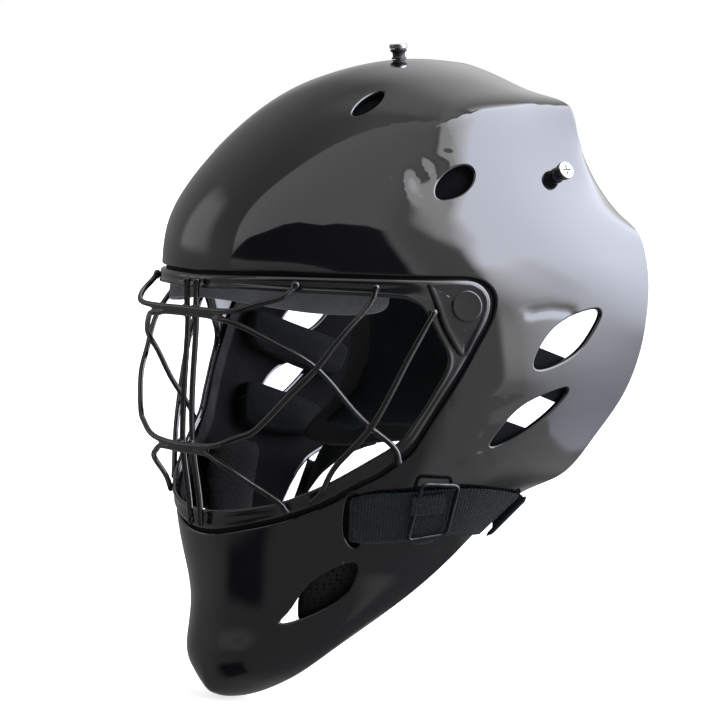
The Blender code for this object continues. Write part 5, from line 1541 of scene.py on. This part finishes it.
# ---------------------------------------------------------------- stage and light
def stage_world():
    w = bpy.data.worlds.new("studio")
    bpy.context.scene.world = w
    w.use_nodes = True
    t = w.node_tree
    t.nodes.clear()

    def N_(kind, **kw):
        n = t.nodes.new(kind)
        for k, v in kw.items():
            setattr(n, k, v)
        return n

    def m(op, a, b=0.0, clamp=False):
        n = N_("ShaderNodeMath", operation=op, use_clamp=clamp)
        for k, x in enumerate((a, b)):
            if hasattr(x, "is_output"):
                t.links.new(x, n.inputs[k])
            else:
                n.inputs[k].default_value = x
        return n.outputs[0]

    def step(x, a, b, inv=False):
        n = N_("ShaderNodeMapRange", interpolation_type='SMOOTHSTEP')
        t.links.new(x, n.inputs["Value"])
        n.inputs["From Min"].default_value, n.inputs["From Max"].default_value = a, b
        n.inputs["To Min"].default_value, n.inputs["To Max"].default_value = (1, 0) if inv else (0, 1)
        return n.outputs[0]

    def mixf(f, a, b):
        return m('ADD', m('MULTIPLY', m('SUBTRACT', 1.0, f), a), m('MULTIPLY', f, b))

    co = N_("ShaderNodeTexCoord").outputs["Generated"]
    s = N_("ShaderNodeSeparateXYZ")
    t.links.new(co, s.inputs[0])
    x, y, z = s.outputs
    deg = 180 / math.pi
    az = m('MULTIPLY', m('ARCTAN2', x, m('MULTIPLY', y, -1.0)), deg)          # 0 ahead of the mask, 90 the wearer's left
    el = m('MULTIPLY', m('ARCSINE', z), deg)
    # behind the mask azimuth wraps: turn it so that the big light is in one piece
    azr = m('MODULO', m('ADD', az, 400.0), 360.0)                             # 40 + az, so 90 -> 130, 180 -> 220, -160 -> 240
    el01 = m('DIVIDE', m('ADD', el, 90.0), 180.0)

    def along(f, lo, hi, scale, *stops):
        """Piecewise-linear table: stops are (position, value) over lo..hi; values up to scale."""
        n = N_("ShaderNodeValToRGB")
        e = n.color_ramp.elements
        while len(e) < len(stops):
            e.new(0.5)
        for q, (p, v) in zip(e, stops):
            q.position = (p - lo) / (hi - lo)
            q.color = (v / scale, v / scale, v / scale, 1)
        t.links.new(f, n.inputs["Fac"])
        return m('MULTIPLY', n.outputs["Color"], scale)

    # general room: darker ahead at middle height, paler overhead
    up = along(el01, -90, 90, 2.0, (0, 0.40), (20, 0.40), (40, 0.40), (60, 0.46), (75, 0.62), (84, 0.9), (90, 1.0))
    low = along(el01, -90, 90, 2.0, (-90, 0.33), (-60, 0.31), (0, 0.31))
    room = mixf(step(el, -1, 5), low, up)
    # wearer's right and behind
    side = m('MULTIPLY', step(azr, 262, 292, True), step(el, 0, 14))
    room = mixf(side, room, 1.5)
    side = m('MULTIPLY', m('MULTIPLY', step(azr, 300, 325, True), step(azr, 250, 285)), step(el, 48, 75))
    room = mixf(side, room, 1.15)
    # narrow light strip, front right
    strip_ = m('MULTIPLY', m('MULTIPLY', step(azr, 324, 331), step(azr, 338, 345, True)), m('MULTIPLY', step(el, 3, 6), step(el, 20, 30, True)))
    room = mixf(strip_, room, 1.1)
    # dark room in front, behind the camera
    az01 = m('DIVIDE', m('ADD', az, 180.0), 360.0)
    top = along(az01, -180, 180, 90.0, (-60, 0), (-42, 4), (-30, 15), (-18, 22), (-6, 31), (6, 36), (30, 37), (44, 41), (66, 42), (76, 40), (90, 40))
    dark = m('MULTIPLY', m('MULTIPLY', step(m('SUBTRACT', el, top), -0.5, 0.5, True), step(el, 4.6, 5.6)), m('MULTIPLY', step(az, 72, 77, True), step(az, -46, -42)))
    room = mixf(dark, room, 0.03)
    # low dark patch ahead
    patch = m('MULTIPLY', m('MULTIPLY', step(az, -42, -26), step(az, -2, 12, True)), m('MULTIPLY', step(el, -64, -50), step(el, -22, -8, True)))
    room = mixf(patch, room, 0.012)
    # half-lit wall beside the camera, then the big soft light on the wearer's left
    pen = m('MULTIPLY', step(azr, 112, 126), step(azr, 232, 262, True))
    pen = m('MULTIPLY', pen, m('MULTIPLY', step(el, -46, -36), step(el, 72, 78, True)))
    room = mixf(pen, room, 1.0)
    sp = m('MULTIPLY', m('MULTIPLY', step(azr, 138, 175), step(azr, 232, 262, True)), m('MULTIPLY', step(el, -48, -40), step(el, -26, -22, True)))
    room = mixf(sp, room, 1.35)
    e1 = along(el01, -90, 90, 180.0, (-40, 138), (-10, 143), (18, 144), (27, 142), (33, 137), (38, 129), (42, 124), (54, 122), (62, 116), (68, 110), (72, 108))
    lv1 = along(el01, -90, 90, 20.0, (-33, 1.5), (-20, 1.7), (-14, 2.0), (-9, 2.8), (-2, 3.8), (4, 3.6), (9, 2.9), (15, 3.6), (22, 4.9), (60, 4.8), (72, 4.4))
    rim = along(az01, -180, 180, 90.0, (70, 69.5), (92, 69.0), (110, 67.5), (150, 66.0), (180, 66.0))
    topcut = step(m('SUBTRACT', el, rim), -1.0, 1.0, True)
    lowline = along(az01, -180, 180, 90.0, (90, 25), (120, 26), (137, 28.0), (144, 32.0), (160, 36.0))
    lowcut = step(m('ADD', el, lowline), -0.7, 0.7)
    body = m('MULTIPLY', topcut, lowcut)
    A = m('MULTIPLY', step(m('SUBTRACT', azr, e1), -1.5, 2.5), step(azr, 226, 250, True))
    room = mixf(m('MULTIPLY', A, body), room, lv1)
    a0 = along(el01, -90, 90, 240.0, (-30, 158), (0, 152), (10, 148), (18, 142), (26, 139), (33, 136), (39, 131), (44, 134), (60, 132))
    wd = along(el01, -90, 90, 60.0, (-30, 26), (4, 26), (12, 24), (20, 18), (27, 5), (38, 4), (43, 14), (50, 30), (60, 26))
    lv2 = along(el01, -90, 90, 20.0, (-36, 3.0), (-27, 3.0), (-21, 3.4), (-15, 4.2), (-9, 5.8), (-3, 7.5), (6, 9.2), (15, 11.0), (22, 12.2), (58, 12.2), (66, 10.5))
    B = m('MINIMUM', m('MAXIMUM', m('DIVIDE', m('SUBTRACT', azr, a0), wd), 0.0), 1.0)
    B = m('MULTIPLY', B, step(azr, 204, 226, True))
    big = m('MULTIPLY', B, body)
    room = mixf(big, room, lv2)
    k = 0.52
    room = m('MULTIPLY', room, k)
    lp = N_("ShaderNodeLightPath")
    cb = N_("ShaderNodeBackground")
    cb.inputs["Color"].default_value = (1, 1, 1, 1)
    cb.inputs["Strength"].default_value = 1.0
    rb = N_("ShaderNodeBackground")
    tint = N_("ShaderNodeMix", data_type='RGBA')
    t.links.new(big, tint.inputs[0])
    tint.inputs[6].default_value = (1.0, 0.985, 0.99, 1)
    tint.inputs[7].default_value = (0.92, 0.96, 1.10, 1)
    t.links.new(tint.outputs[2], rb.inputs["Color"])
    t.links.new(room, rb.inputs["Strength"])
    mx = N_("ShaderNodeMixShader")
    t.links.new(lp.outputs["Is Camera Ray"], mx.inputs[0])
    t.links.new(rb.outputs[0], mx.inputs[1])
    t.links.new(cb.outputs[0], mx.inputs[2])
    o = N_("ShaderNodeOutputWorld")
    t.links.new(mx.outputs[0], o.inputs[0])


stage_world()
bpy.context.scene.view_settings.view_transform = 'Standard'
bpy.context.scene.view_settings.look = 'None'

fm = bpy.data.materials.new("floor_pale")
fm.use_nodes = True
fb = fm.node_tree.nodes["Principled BSDF"]
fb.inputs["Base Color"].default_value = (0.8, 0.8, 0.8, 1)
fb.inputs["Roughness"].default_value = 0.9
fb.inputs["Emission Color"].default_value = (1, 1, 1, 1)
fb.inputs["Emission Strength"].default_value = 0.75
fz = CAD_BOX[0][2] - 0.0005
me = bpy.data.meshes.new("floor")
me.from_pydata([(-30, -30, fz), (30, -30, fz), (30, 30, fz), (-30, 30, fz)], [], [(0, 1, 2, 3)])
me.materials.append(fm)
floor = bpy.data.objects.new("floor", me)
bpy.context.scene.collection.objects.link(floor)
floor.visible_glossy = False
